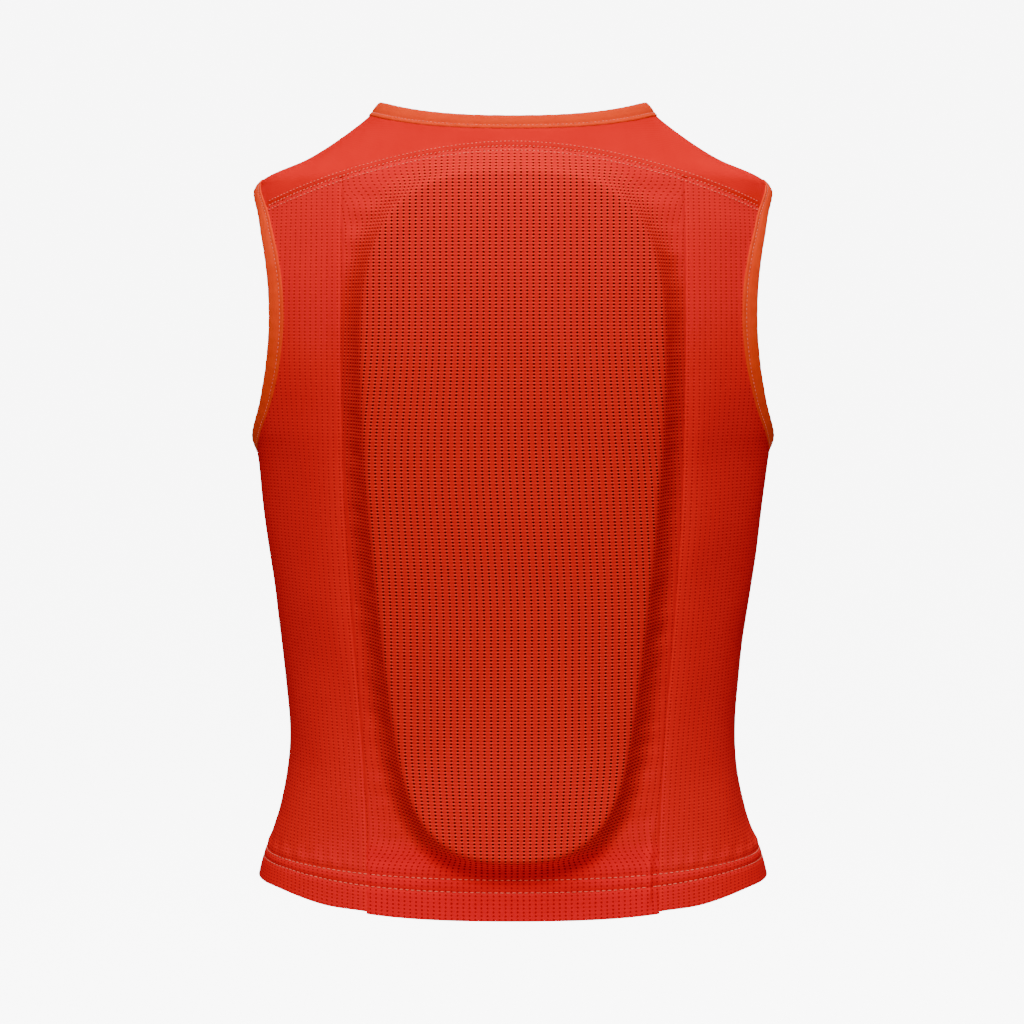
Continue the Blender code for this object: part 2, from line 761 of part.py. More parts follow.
def zip_slider(frame):
    """Slider: two plates joined by a thin post between the coils, flanges, and an arch outside."""
    pivot = bpy.data.objects.new("slider_line", None)
    pivot.location = (0.0, 0.0, SLIDER_MID)
    pivot.parent = frame
    bpy.context.scene.collection.objects.link(pivot)
    half = SLIDER_LENGTH / 2
    # The slider's cross-section, constant along the zip, is drawn as one outline in x and y
    outer, inner = -0.0019, -0.0008
    back_in, back_out = 0.0030, 0.0040
    post = 0.00022
    reach, lip = 0.0047, 0.0034
    lip_end = 0.0014
    outline = [
        (-reach, outer), (reach, outer), (reach, lip_end), (lip, lip_end), (lip, inner),
        (post, inner), (post, back_in), (reach, back_in), (reach, back_out),
        (-reach, back_out), (-reach, back_in), (-post, back_in), (-post, inner),
        (-lip, inner), (-lip, lip_end), (-reach, lip_end),
    ]
    bm = bmesh.new()
    face = bm.faces.new([bm.verts.new((x, y, -half)) for x, y in outline])
    push = bmesh.ops.extrude_face_region(bm, geom=[face])
    moved = [g for g in push["geom"] if isinstance(g, bmesh.types.BMVert)]
    bmesh.ops.translate(bm, vec=(0.0, 0.0, SLIDER_LENGTH), verts=moved)
    bmesh.ops.recalc_face_normals(bm, faces=bm.faces[:])
    body = add_object("zip_slider", mesh_of("zip_slider", bm), *ZINC, smooth=False)
    body.parent = pivot
    # The arch that holds the pull
    width, span, rise, band = 0.0012, 0.0032, 0.0028, 0.0008
    foot = outer + 0.0003
    arch = extrude_outline(
        "slider_arch",
        [
            (foot, -span), (outer - rise * 0.6, -span), (outer - rise, -span * 0.55),
            (outer - rise, span * 0.55), (outer - rise * 0.6, span), (foot, span),
            (foot, span - band), (outer - rise * 0.5, span - band),
            (outer - rise + band, span * 0.5 - band * 0.4),
            (outer - rise + band, -span * 0.5 + band * 0.4),
            (outer - rise * 0.5, -span + band), (foot, -span + band),
        ],
        -width, width, "x", ZINC, pivot,
    )
    arch.hide_render = True
    arch.display_type = "WIRE"
    join = body.modifiers.new("arch", "BOOLEAN")
    join.operation = "UNION"
    join.object = arch
    return pivot


def pull_tab(slider_line):
    """The pull: a pin under the arch, two arms beside it and a long tab, hanging plumb."""
    pivot = bpy.data.objects.new("pull_pivot", None)
    pivot.location = (0.0, -HINGE_OUT, 0.0)
    pivot.rotation_euler = (math.atan(FRONT_LEAN), 0.0, 0.0)
    pivot.parent = slider_line
    bpy.context.scene.collection.objects.link(pivot)
    arm, slot, half_thick, eye = 0.0031, 0.0018, 0.0005, 0.0052
    tip = 0.0290
    outline = [
        (-arm, half_thick), (arm, half_thick), (arm, -eye), (arm * 0.8, -0.4 * tip),
        (arm * 1.1, -0.92 * tip), (arm * 0.7, -tip), (-arm * 0.7, -tip), (-arm * 1.1, -0.92 * tip),
        (-arm * 0.8, -0.4 * tip), (-arm, -eye),
    ]
    tab = extrude_outline("zip_pull", outline, -half_thick, half_thick, "y", ZINC, pivot)
    window = block(
        "pull_window", (-slot, -0.002, -eye), (slot, 0.002, -half_thick), ZINC, pivot
    )
    window.hide_render = True
    window.display_type = "WIRE"
    cut = tab.modifiers.new("window", "BOOLEAN")
    cut.object = window
    return tab


def chin_guard(frame):
    """A jersey tab behind the top of the left zip tape."""
    top = ZIP_START + ZIP_LENGTH
    block(
        "chin_guard", (GUARD_ACROSS[0], GUARD_DEPTH[0], top - GUARD_BELOW_TOP),
        (GUARD_ACROSS[1], GUARD_DEPTH[1], top + 0.003), JERSEY, frame,
    )


def main():
    for piece in list(bpy.data.objects):
        bpy.data.objects.remove(piece, do_unlink=True)
    back_outer_panel()
    foam_layer("protector_outer_foam", FOAM_SPLIT + 0.0004, PLATE_LIFT - CLOTH - 0.0006, -0.0010)
    foam_layer("protector_inner_foam", -0.0008, FOAM_SPLIT, 0.0015)
    pocket()
    pocket_flap()
    back_yoke()
    neck_binding(0, "neck_binding_back")
    hem_elastic(0, "hem_elastic_back")
    line = zip_frame()
    for side, label in ((1, "left"), (-1, "right")):
        side_panel(side, f"side_panel_{label}")
        front_panel(side, f"front_panel_{label}")
        front_yoke(side, f"front_yoke_{label}")
        neck_binding(side, f"neck_binding_{label}")
        armhole_binding(side, True, f"armhole_binding_back_{label}")
        armhole_binding(side, False, f"armhole_binding_front_{label}")
        hem_elastic(side, f"hem_elastic_{label}")
        zip_half(line, side, label)
    zip_end(line)
    pull_tab(zip_slider(line))
    chin_guard(line)


main()
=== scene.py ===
"""The looks of a child's back-protector vest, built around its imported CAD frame.

Metres, +Z up, the wearer faces -Y. The shell's formulas are those of the part: a place on it is
an angle round the body (0 at the left side, +90 degrees at the back) and a height.
"""
import math

import bpy
import numpy as np
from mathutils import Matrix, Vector, noise


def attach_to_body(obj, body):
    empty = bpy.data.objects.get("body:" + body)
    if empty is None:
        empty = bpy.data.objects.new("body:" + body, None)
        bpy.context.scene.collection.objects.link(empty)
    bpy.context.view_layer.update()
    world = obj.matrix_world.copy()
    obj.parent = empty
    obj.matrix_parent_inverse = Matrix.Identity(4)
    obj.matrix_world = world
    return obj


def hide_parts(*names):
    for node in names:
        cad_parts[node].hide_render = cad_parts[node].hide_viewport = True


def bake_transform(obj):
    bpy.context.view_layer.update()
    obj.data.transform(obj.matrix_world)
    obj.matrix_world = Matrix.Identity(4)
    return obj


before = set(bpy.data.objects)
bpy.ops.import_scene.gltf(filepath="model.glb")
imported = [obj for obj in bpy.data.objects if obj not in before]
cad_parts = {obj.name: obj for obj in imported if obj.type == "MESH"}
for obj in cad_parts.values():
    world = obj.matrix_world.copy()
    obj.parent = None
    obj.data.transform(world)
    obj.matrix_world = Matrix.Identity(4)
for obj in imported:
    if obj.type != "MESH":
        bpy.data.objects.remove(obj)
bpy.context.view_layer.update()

# The part's own dimensions
CLOTH = 0.0012
BINDING = 0.0080
HEM_BAND = 0.0205
HALF_WIDTHS = np.array([
    (0.000, 0.1515), (0.020, 0.1470), (0.045, 0.1392), (0.080, 0.1329), (0.120, 0.1341),
    (0.170, 0.1399), (0.220, 0.1458), (0.252, 0.1493), (0.262, 0.1516), (0.270, 0.1545),
    (0.285, 0.1592), (0.300, 0.1650), (0.320, 0.1713), (0.340, 0.1737), (0.360, 0.1708),
    (0.380, 0.1637), (0.395, 0.1563), (0.404, 0.1526), (0.4095, 0.1500), (0.4161, 0.1446),
    (0.4265, 0.1205), (0.4404, 0.0978), (0.4511, 0.0850), (0.462, 0.0751),
])
BACK_DEPTHS = np.array([
    (0.000, 0.088), (0.050, 0.078), (0.100, 0.0725), (0.170, 0.075), (0.250, 0.083),
    (0.320, 0.087), (0.380, 0.083), (0.420, 0.072), (0.450, 0.053), (0.462, 0.047),
])
FRONT_DEPTH_HEM, FRONT_LEAN, CHEST_TOP, CHEST_TURN = 0.0990, 0.0500, 0.385, 2.4
ARMHOLE_MID, ARMHOLE_HALF_HEIGHT, ARMHOLE_BACK, ARMHOLE_FRONT = 0.3367, 0.0728, 0.060, 0.057
ARMHOLE_FABRIC = (-0.0007, 0.0074, 0.0050)
NECK_SHOULDER, NECK_BACK, NECK_FRONT = 0.460, 0.449, 0.380
YOKE_SEAM_BACK, YOKE_SEAM_DROP, YOKE_SEAM_POWER, YOKE_SEAM_FRONT = 0.4311, 1.12, 1.8, 0.395
CENTRE_PANEL_TOP, CENTRE_PANEL_HEM, FRONT_EDGE = 0.0963, 0.0834, 0.0062
PLATE_LIFT, PLATE_HALF_WIDTH, PLATE_TOP, PLATE_WIDEST = 0.018, 0.0841, 0.4171, 0.3055
PLATE_BOTTOM, PLATE_TAPER, SLOPE, FOAM_SPLIT = 0.0320, 0.32, 0.0140, 0.0080
LINING_TOP, FLAP_HALF_WIDTH, FLAP_LOW, FLAP_TOP, HEADER_LOW = 0.372, 0.056, 0.350, 0.400, 0.3985
ZIP_LENGTH, ZIP_START = 0.3660, 0.0040

UNDER = 0.90               # panels run this share of a binding's width under it
UNDER_SHIFT, UNDER_UP, UNDER_ACROSS = (UNDER * value for value in ARMHOLE_FABRIC)
SHOULDER_UNDER, NECK_UNDER = NECK_SHOULDER - UNDER * BINDING, NECK_FRONT - UNDER * BINDING
AT_SHOULDER = 1e-8         # the least angle from the shoulder line
SHOULDER_OVERLAP = 0.0006  # the fronts' cloth runs this far behind the shoulder line
HEM_ROWS = (0.0140, 0.0200)
SEAM_WIDTH, SEAM_DEPTH = 0.0010, 0.0007
BODY_CLOTH = 0.0008        # the thickness of the visible cloth
SHARP_CLOTH, SHARP_METAL = math.radians(48), math.radians(35)
MIRROR = np.array([-1.0, 1.0, 1.0])


# ---------------------------------------------------------------- the shell

def blend(t):
    t = np.clip(t, 0.0, 1.0)
    return t * t * (3 - 2 * t)


def unit(vectors):
    return vectors / np.linalg.norm(vectors, axis=-1, keepdims=True)


def through(stations, at):
    """A smooth curve through (height, value) stations."""
    heights, values = stations[:, 0], stations[:, 1]
    last = len(heights) - 1
    low, high = np.maximum(np.arange(last + 1) - 1, 0), np.minimum(np.arange(last + 1) + 1, last)
    slopes = (values[high] - values[low]) / (heights[high] - heights[low])
    at = np.asarray(at, float)
    i = np.clip(np.searchsorted(heights, at, "right") - 1, 0, last - 1)
    step = heights[i + 1] - heights[i]
    t = (at - heights[i]) / step
    return (
        (2 * t**3 - 3 * t**2 + 1) * values[i] + (t**3 - 2 * t**2 + t) * step * slopes[i]
        + (3 * t**2 - 2 * t**3) * values[i + 1] + (t**3 - t**2) * step * slopes[i + 1]
    )


def half_width(z):
    return through(HALF_WIDTHS, z)


def depth(z, back):
    front = FRONT_DEPTH_HEM - FRONT_LEAN * z - CHEST_TURN * np.maximum(0.0, z - CHEST_TOP) ** 2
    return np.where(back, through(BACK_DEPTHS, z), front)


def squareness(z):
    return 2.10 + 0.25 * blend(np.asarray(z) / 0.3)


def field(x, y, z):
    n = squareness(z)
    return (np.abs(x) / half_width(z)) ** n + (np.abs(y) / depth(z, y >= 0)) ** n


def outward(x, y, z):
    step = 0.0005
    n, a, b = squareness(z), half_width(z), depth(z, y >= 0)
    rise = (field(x, y, z + step) - field(x, y, z - step)) / (2 * step)
    return unit(np.stack([
        np.copysign(n * (np.abs(x) / a) ** (n - 1) / a, x),
        np.copysign(n * (np.abs(y) / b) ** (n - 1) / b, y),
        rise,
    ], -1))


def shell(angle, z, lift=0.0):
    angle, z = np.broadcast_arrays(np.asarray(angle, float), np.asarray(z, float))
    n = squareness(z)
    c, s = np.cos(angle), np.sin(angle)
    x = np.copysign(half_width(z) * np.abs(c) ** (2 / n), c)
    y = np.copysign(depth(z, s >= 0) * np.abs(s) ** (2 / n), s)
    return np.stack([x, y, z], -1) + np.asarray(lift)[..., None] * outward(x, y, z)


def angle_at_x(x, z):
    return np.arccos(np.minimum(np.abs(x) / half_width(z), 1.0) ** (squareness(z) / 2))


def back_angle(x, z):
    return np.where(x < 0, math.pi - angle_at_x(x, z), angle_at_x(x, z))


def angle_at_y(y, z):
    share = np.minimum(np.abs(y) / depth(z, y >= 0), 1.0)
    return np.copysign(np.arcsin(share ** (squareness(z) / 2)), y)


def back_y(x, z):
    n = squareness(z)
    return depth(z, True) * (1 - np.minimum(np.abs(x) / half_width(z), 1.0) ** n) ** (1 / n)


def on_back(x, z, lift):
    """Points that stand lift off the bare back along Y, and the bare back's outward normals."""
    bare = back_y(x, z)
    return np.stack([x, bare + lift, z], -1), outward(x, bare, z)


def armhole(k, turn, back):
    """Angle and height on the armhole's edge, k of a binding's width in from it."""
    shift, up, across = ARMHOLE_FABRIC
    z = ARMHOLE_MID + k * shift + (ARMHOLE_HALF_HEIGHT + k * up) * np.sin(turn)
    reach = (ARMHOLE_BACK if back else ARMHOLE_FRONT) + k * across
    y = reach * np.maximum(np.cos(turn), 0.0) * (1 if back else -1)
    return angle_at_y(y + (1e-7 if back else -1e-7), z), z


def outer_edge(z, back):
    """Angle of a body panel's outer edge: the side seam, and above it the armhole."""
    level = np.minimum(np.abs(z - ARMHOLE_MID - UNDER_SHIFT) / (ARMHOLE_HALF_HEIGHT + UNDER_UP), 1.0)
    reach = (ARMHOLE_BACK if back else ARMHOLE_FRONT) + UNDER_ACROSS
    y = np.maximum(reach * np.sqrt(1 - level**2), 1e-6)
    return angle_at_y(y if back else -y, z)


def neck(k, turn, back):
    """Angle and height on the neckline, k of a binding's width in from its edge."""
    shoulder = NECK_SHOULDER - k * BINDING
    if back:
        low = NECK_BACK - k * BINDING
        z = low + (shoulder - low) * np.cos(turn) ** 2
        return np.maximum(turn, AT_SHOULDER), z
    low = NECK_FRONT - k * BINDING
    z = shoulder - (shoulder - low) * np.sin(turn)
    return -np.maximum(angle_at_x(half_width(shoulder) * np.cos(turn), z), AT_SHOULDER), z


def yoke_seam(x):
    return YOKE_SEAM_BACK - YOKE_SEAM_DROP * np.abs(x) ** YOKE_SEAM_POWER


def centre_seam(z):
    return CENTRE_PANEL_HEM + (CENTRE_PANEL_TOP - CENTRE_PANEL_HEM) * blend(z / 0.26)


# ---------------------------------------------------------------- the plate

def plate_half_width(z):
    high = np.clip((z - PLATE_WIDEST) / (PLATE_TOP - PLATE_WIDEST), 0, 1)
    low = np.clip((PLATE_WIDEST - z) / (PLATE_WIDEST - PLATE_BOTTOM), 0, 1)
    above = PLATE_HALF_WIDTH * (1 - high**3) ** (1 / 3)
    below = PLATE_HALF_WIDTH * (1 - PLATE_TAPER * low**1.6) * (1 - low**14) ** 0.4
    return np.where(z >= PLATE_WIDEST, above, below)


def plate_middle(turns):
    """The height on the plate's middle line that a point of its edge is turned about."""
    return (PLATE_TOP + PLATE_BOTTOM) / 2 + 0.13 * np.sin(turns)


def plate_outline(count):
    """Points round the plate's edge, evenly turned about a line up its middle."""
    turns = 2 * np.pi * np.arange(count) / count
    centre = plate_middle(turns)
    low, high = np.zeros(count), np.full(count, 0.3)
    for _ in range(40):
        reach = (low + high) / 2
        x, z = reach * np.cos(turns), centre + reach * np.sin(turns)
        inside = (z > PLATE_BOTTOM) & (z < PLATE_TOP) & (np.abs(x) < plate_half_width(z))
        low, high = np.where(inside, reach, low), np.where(inside, high, reach)
    return np.stack([low * np.cos(turns), centre + low * np.sin(turns)], -1)


OUTLINE, OUTLINE_COARSE = plate_outline(240), plate_outline(180)


def beside_plate(x, z):
    """Distance outside the plate's edge, negative on the plate."""
    spot = np.stack([x, z], -1)[..., None, :]
    start, along = np.roll(OUTLINE, 1, 0), OUTLINE - np.roll(OUTLINE, 1, 0)
    t = np.clip(((spot - start) * along).sum(-1) / (along**2).sum(-1), 0, 1)
    near = np.sqrt((((spot - start) - t[..., None] * along) ** 2).sum(-1).min(-1))
    inside = (z > PLATE_BOTTOM) & (z < PLATE_TOP) & (np.abs(x) <= plate_half_width(z))
    return np.where(inside, -near, near)


def panel_lift(x, z):
    """How far the panel stands off the bare back: level on the plate, its edge a little rounded."""
    round_off = 0.0007
    away = round_off * np.logaddexp(0.0, beside_plate(x, z) / round_off)
    return PLATE_LIFT * np.maximum(1 - away / SLOPE, 0.0) ** 2


def vents(x, z):
    """1 over the plate's vent holes: clusters in staggered rows."""
    across, up = 0.0300, 0.0250
    row = np.round((z - 0.050) / up)
    shift = np.where(row % 2 == 0, 0.0, 0.5)
    column = np.round(x / across - shift) + shift
    away = np.hypot(x - column * across, (z - 0.050 - row * up) * 1.1)
    inside = (beside_plate(x, z) < -0.012) & (z > 0.045)
    return np.where(inside, blend((0.0062 - away) / 0.0022), 0.0)


# ---------------------------------------------------------------- materials

class Graph:
    """A node material under construction. Values are sockets or plain numbers."""

    def __init__(self, name, roughness, metallic=0.0, coat=0.0, specular=0.05):
        self.material = bpy.data.materials.new(name)
        self.material.use_nodes = True
        self.nodes, self.links = self.material.node_tree.nodes, self.material.node_tree.links
        self.shader = self.nodes["Principled BSDF"]
        for socket, value in (("Roughness", roughness), ("Metallic", metallic), ("Coat Weight", coat),
                              ("Specular IOR Level", specular)):
            self.shader.inputs[socket].default_value = value

    def put(self, socket, value):
        if hasattr(value, "is_linked"):
            self.links.new(value, socket)
        elif isinstance(value, (tuple, list)):
            socket.default_value = (*value, 1.0) if len(value) == 3 else value
        else:
            socket.default_value = value

    def math(self, operation, a, b=0.0, clamp=False):
        node = self.nodes.new("ShaderNodeMath")
        node.operation = operation
        node.use_clamp = clamp
        self.put(node.inputs[0], a)
        self.put(node.inputs[1], b)
        return node.outputs[0]

    def times(self, a, b):
        return self.math("MULTIPLY", a, b)

    def plus(self, a, b, clamp=False):
        return self.math("ADD", a, b, clamp)

    def minus(self, a, b):
        return self.math("SUBTRACT", a, b)

    def step(self, value, low, high):
        """0 at low and 1 at high, smooth between; low may be above high."""
        node = self.nodes.new("ShaderNodeMapRange")
        node.interpolation_type = "SMOOTHSTEP"
        self.put(node.inputs["Value"], value)
        self.put(node.inputs["From Min"], low)
        self.put(node.inputs["From Max"], high)
        return node.outputs["Result"]

    def mix(self, share, a, b):
        node = self.nodes.new("ShaderNodeMix")
        node.data_type = "RGBA"
        self.put(node.inputs[0], share)
        self.put(node.inputs[6], a)
        self.put(node.inputs[7], b)
        return node.outputs[2]

    def weave(self):
        """The flat cloth's own coordinates, in metres."""
        uv = self.nodes.new("ShaderNodeUVMap")
        uv.uv_map = "cloth"
        split = self.nodes.new("ShaderNodeSeparateXYZ")
        self.links.new(uv.outputs[0], split.inputs[0])
        return uv.outputs[0], split.outputs[0], split.outputs[1]

    def place(self):
        return self.nodes.new("ShaderNodeTexCoord").outputs["Object"]

    def attribute(self, name):
        node = self.nodes.new("ShaderNodeAttribute")
        node.attribute_name = name
        return node.outputs["Fac"]

    def noise(self, vector, scale, detail=2.0, rough=0.55):
        node = self.nodes.new("ShaderNodeTexNoise")
        self.links.new(vector, node.inputs["Vector"])
        for socket, value in (("Scale", scale), ("Detail", detail), ("Roughness", rough)):
            node.inputs[socket].default_value = value
        return node.outputs[0]

    def cell(self, coordinate, pitch):
        """Place in a repeat, from -0.5 to 0.5."""
        return self.minus(self.math("FRACT", self.math("DIVIDE", coordinate, pitch)), 0.5)

    def waves(self, coordinate, pitch):
        """0 to 1 and back each pitch."""
        turn = self.math("SINE", self.times(coordinate, 2 * math.pi / pitch))
        return self.plus(self.times(turn, 0.5), 0.5)

    def finish(self, colour, height=None, distance=0.0003, strength=1.0, roughness=None):
        self.put(self.shader.inputs["Base Color"], colour)
        if roughness is not None:
            self.put(self.shader.inputs["Roughness"], roughness)
        if height is not None:
            bump = self.nodes.new("ShaderNodeBump")
            bump.inputs["Strength"].default_value = strength
            bump.inputs["Distance"].default_value = distance
            self.put(bump.inputs["Height"], height)
            self.links.new(bump.outputs[0], self.shader.inputs["Normal"])
        return self.material


def mesh_cloth():
    """Warp-knit mesh: columns of small oval holes with a bright bar between each two.

    A point's plate is 1 on the plate, vent over its vent holes, deep near the hem, and edge beside
    the plate. Painted shade darkens the holes over the vents and beside the plate, the red cloth
    seen through the holes off the plate, and the cloth on the slope beside the plate; the pale
    flecks on the yarn are painted sheen.
    """
    g = Graph("mesh_cloth", 0.78, specular=0.025)
    uv, u, v = g.weave()
    plate, vent, deep, edge = (g.attribute(name) for name in ("plate", "vent", "deep", "edge"))
    pitch_u, pitch_v = 0.0034, 0.0019
    hole_u, hole_v, hole_shrink = 0.00058, 0.00052, 0.18
    across = g.times(g.math("ABSOLUTE", g.cell(u, pitch_u)), pitch_u)
    up = g.times(g.math("ABSOLUTE", g.cell(v, pitch_v)), pitch_v)
    away = g.math("SQRT", g.plus(
        g.math("POWER", g.math("DIVIDE", across, hole_u), 2.0),
        g.math("POWER", g.math("DIVIDE", up, hole_v), 2.0)))
    away = g.times(away, g.minus(1 + hole_shrink, g.times(plate, hole_shrink)))   # wider on the plate
    hole = g.step(away, 1.25, 0.75)
    column = g.step(across, 0.00085, 0.00045)
    bar = g.times(column, g.step(up, 0.00040, 0.00070))
    line = g.times(g.step(up, 0.00045, 0.00010), g.step(across, 0.0004, 0.0008))
    mottle = g.noise(uv, 24.0, 2.0)
    yarn = g.noise(uv, 2600.0, 1.0)
    base = g.mix(plate, (0.86, 0.006, 0.012), (0.82, 0.009, 0.010))
    base = g.mix(deep, base, (0.97, 0.0, 0.012))
    base = g.mix(g.times(g.step(mottle, 0.25, 0.8), 0.20), base, (0.68, 0.004, 0.009))
    # Painted shade: the cloth on the slope beside the plate is darkened a little
    base = g.mix(g.times(edge, 0.10), base, (0.58, 0.002, 0.006))
    # Painted sheen: pale flecks on the yarn, fewer near the hem
    painted_sheen = g.times(yarn, g.minus(0.18, g.times(deep, 0.15)))
    base = g.mix(painted_sheen, base, (0.97, 0.030, 0.022))
    lines = g.plus(g.times(plate, 0.16), 0.05)
    base = g.mix(g.times(line, lines), base, (0.22, 0.003, 0.002))
    bars = g.times(g.plus(g.times(plate, 0.55), 0.16), g.minus(1.0, deep))
    base = g.mix(g.times(bar, bars), base, (1.0, 0.075, 0.035))
    # The holes' colour: the black foam over the plate, and elsewhere the red cloth behind darkened
    # with painted shade; over the foam's vents, near-black painted shade in the vent hollows
    inside = g.mix(plate, (0.24, 0.001, 0.002), (0.008, 0.001, 0.001))
    inside = g.mix(vent, inside, (0.001, 0.0005, 0.0005))
    cover = g.plus(g.times(plate, 0.40), 0.60, clamp=True)
    base = g.mix(g.times(hole, cover), base, inside)
    height = g.minus(g.times(g.times(bar, plate), 0.35), hole)
    height = g.plus(height, g.times(g.waves(u, 0.0008), 0.12))
    height = g.plus(height, g.times(yarn, 0.20))
    return g.finish(base, height, 0.00028, 0.7)


def jersey():
    """Smooth stretch jersey with faint wales."""
    g = Graph("stretch_jersey", 0.75, specular=0.03)
    uv, u, v = g.weave()
    wales, courses = g.waves(u, 0.00055), g.waves(v, 0.00042)
    mottle = g.noise(uv, 40.0, 3.0)
    base = g.mix(g.step(mottle, 0.3, 0.75), (0.80, 0.003, 0.004), (0.76, 0.002, 0.003))
    base = g.mix(g.times(g.times(wales, courses), 0.18), base, (1.0, 0.06, 0.04))
    height = g.plus(g.times(wales, 0.6), g.times(courses, 0.4))
    height = g.plus(height, g.times(g.noise(uv, 1800.0), 0.3))
    return g.finish(base, height, 0.00008, 0.6)


def ribbed(name, colour, other, pitch, roughness, distance):
    """A narrow woven or knitted band with ribs across it."""
    g = Graph(name, roughness, specular=0.08)
    uv, u, v = g.weave()
    ribs, picks = g.waves(u, pitch), g.waves(v, pitch * 0.6)
    base = g.mix(g.step(g.noise(uv, 90.0, 3.0), 0.3, 0.7), colour, other)
    dark = tuple(0.4 * c for c in other)
    base = g.mix(g.times(g.step(ribs, 0.35, 0.0), 0.30), base, dark)
    height = g.plus(g.times(ribs, 0.7), g.times(picks, 0.3))
    return g.finish(base, height, distance, 0.7)


def grained(name, roughness, specular, patches, first, second, grain, distance, strength):
    """Two close colours in patches, over a fine grain."""
    g = Graph(name, roughness, specular=specular)
    place = g.place()
    base = g.mix(g.step(g.noise(place, patches), 0.3, 0.7), first, second)
    return g.finish(base, g.noise(place, grain), distance, strength)


def foam():
    g = Graph("foam", 0.9)
    place = g.place()
    cells = g.noise(place, 900.0, 4.0, 0.7)
    base = g.mix(g.step(g.noise(place, 60.0), 0.3, 0.7), (0.020, 0.020, 0.023), (0.034, 0.034, 0.038))
    base = g.mix(g.step(cells, 0.5, 0.35), base, (0.006, 0.006, 0.007))
    return g.finish(base, cells, 0.0004, 0.8)


def lacquer():
    """Black lacquered zinc, worn a little through to metal in fine patches."""
    g = Graph("zip_lacquer", 0.34, metallic=0.6, coat=0.3, specular=0.5)
    place = g.place()
    wear = g.step(g.noise(place, 700.0, 5.0, 0.7), 0.66, 0.74)
    base = g.mix(wear, (0.013, 0.012, 0.014), (0.19, 0.18, 0.165))
    rough = g.plus(g.times(g.noise(place, 400.0, 4.0), 0.25), 0.22)
    return g.finish(base, g.noise(place, 1600.0), 0.00003, 0.4, roughness=rough)


def fleece():
    g = Graph("hook_loop", 0.95, specular=0.1)
    place = g.place()
    pile = g.noise(place, 2200.0, 4.0, 0.75)
    base = g.mix(pile, (0.005, 0.005, 0.005), (0.03, 0.029, 0.032))
    return g.finish(base, pile, 0.0005, 1.0)


def floor_look():
    """A pale floor, lit evenly to the horizon so that it meets the backdrop."""
    g = Graph("pale_floor", 0.9)
    place = g.place()
    base = g.mix(g.noise(place, 3.0, 4.0), (0.93, 0.93, 0.93), (0.96, 0.96, 0.96))
    g.put(g.shader.inputs["Emission Color"], (1.0, 1.0, 1.0))
    g.shader.inputs["Emission Strength"].default_value = 7.9
    return g.finish(base, g.noise(place, 90.0), 0.0005, 0.2)


MESH = mesh_cloth()
JERSEY = jersey()
BINDING_LOOK = ribbed(
    "binding_cloth", (0.98, 0.062, 0.006), (0.93, 0.050, 0.005), 0.00045, 0.7, 0.00007
)
ELASTIC = ribbed("hem_elastic", (0.43, 0.006, 0.003), (0.32, 0.004, 0.002), 0.0016, 0.8, 0.0004)
TAPE = ribbed("zip_tape", (0.70, 0.012, 0.006), (0.58, 0.009, 0.004), 0.0007, 0.75, 0.0002)
THREAD = grained(
    "thread", 0.5, 0.2, 900.0, (1.0, 0.22, 0.15), (1.0, 0.15, 0.10), 5000.0, 0.00005, 0.5
)
FOAM = foam()
NYLON = grained(
    "zip_nylon", 0.38, 0.4, 300.0, (1.0, 0.030, 0.016), (0.85, 0.018, 0.010), 2500.0, 0.00004, 0.4
)
LACQUER, FLEECE = lacquer(), fleece()


# ---------------------------------------------------------------- meshes

def make_object(name, verts, faces, material, uv=None, attributes=None):
    mesh = bpy.data.meshes.new(name)
    mesh.from_pydata(np.asarray(verts, float).tolist(), [], [tuple(f) for f in faces])
    mesh.materials.append(material)
    if uv is not None:
        loops = np.empty(len(mesh.loops), int)
        mesh.loops.foreach_get("vertex_index", loops)
        layer = mesh.uv_layers.new(name="cloth")
        layer.data.foreach_set("uv", np.asarray(uv, np.float32)[loops].ravel())
    for key, values in (attributes or {}).items():
        data = mesh.attributes.new(key, "FLOAT", "POINT")
        data.data.foreach_set("value", np.asarray(values, np.float32).ravel())
    mesh.validate()
    mesh.shade_smooth()
    mesh.set_sharp_from_angle(angle=SHARP_CLOTH)
    piece = bpy.data.objects.new(name, mesh)
    bpy.context.scene.collection.objects.link(piece)
    return piece


def grid_normals(points):
    along, up = np.gradient(points, axis=1), np.gradient(points, axis=0)
    out = np.cross(along, up)
    return out / np.maximum(np.linalg.norm(out, axis=-1, keepdims=True), 1e-12)


def cut_size(points):
    """Width, length and area of a sheet, along its rows, up its columns and over its face."""
    width = np.linalg.norm(np.diff(points, axis=1), axis=-1).sum(1).max()
    length = np.linalg.norm(np.diff(points, axis=0), axis=-1).sum(0).max()
    a, b = points[1:, 1:] - points[:-1, :-1], points[1:, :-1] - points[:-1, 1:]
    area = np.linalg.norm(np.cross(a, b), axis=-1).sum() / 2
    return [float(width), float(length), float(area)]


def cloth_coordinates(points, middle=None):
    """u along the rows and v up the columns, in metres, from the surface's own lengths."""
    steps = np.linalg.norm(np.diff(points, axis=1), axis=-1)
    u = np.concatenate([np.zeros((len(points), 1)), np.cumsum(steps, 1)], 1)
    column = points.shape[1] // 2 if middle is None else middle
    u = u - u[:, column:column + 1]
    rise = np.linalg.norm(np.diff(points[:, column], axis=0), axis=-1)
    v = np.concatenate([[0.0], np.cumsum(rise)])
    return np.stack([u, np.broadcast_to(v[:, None], u.shape)], -1)


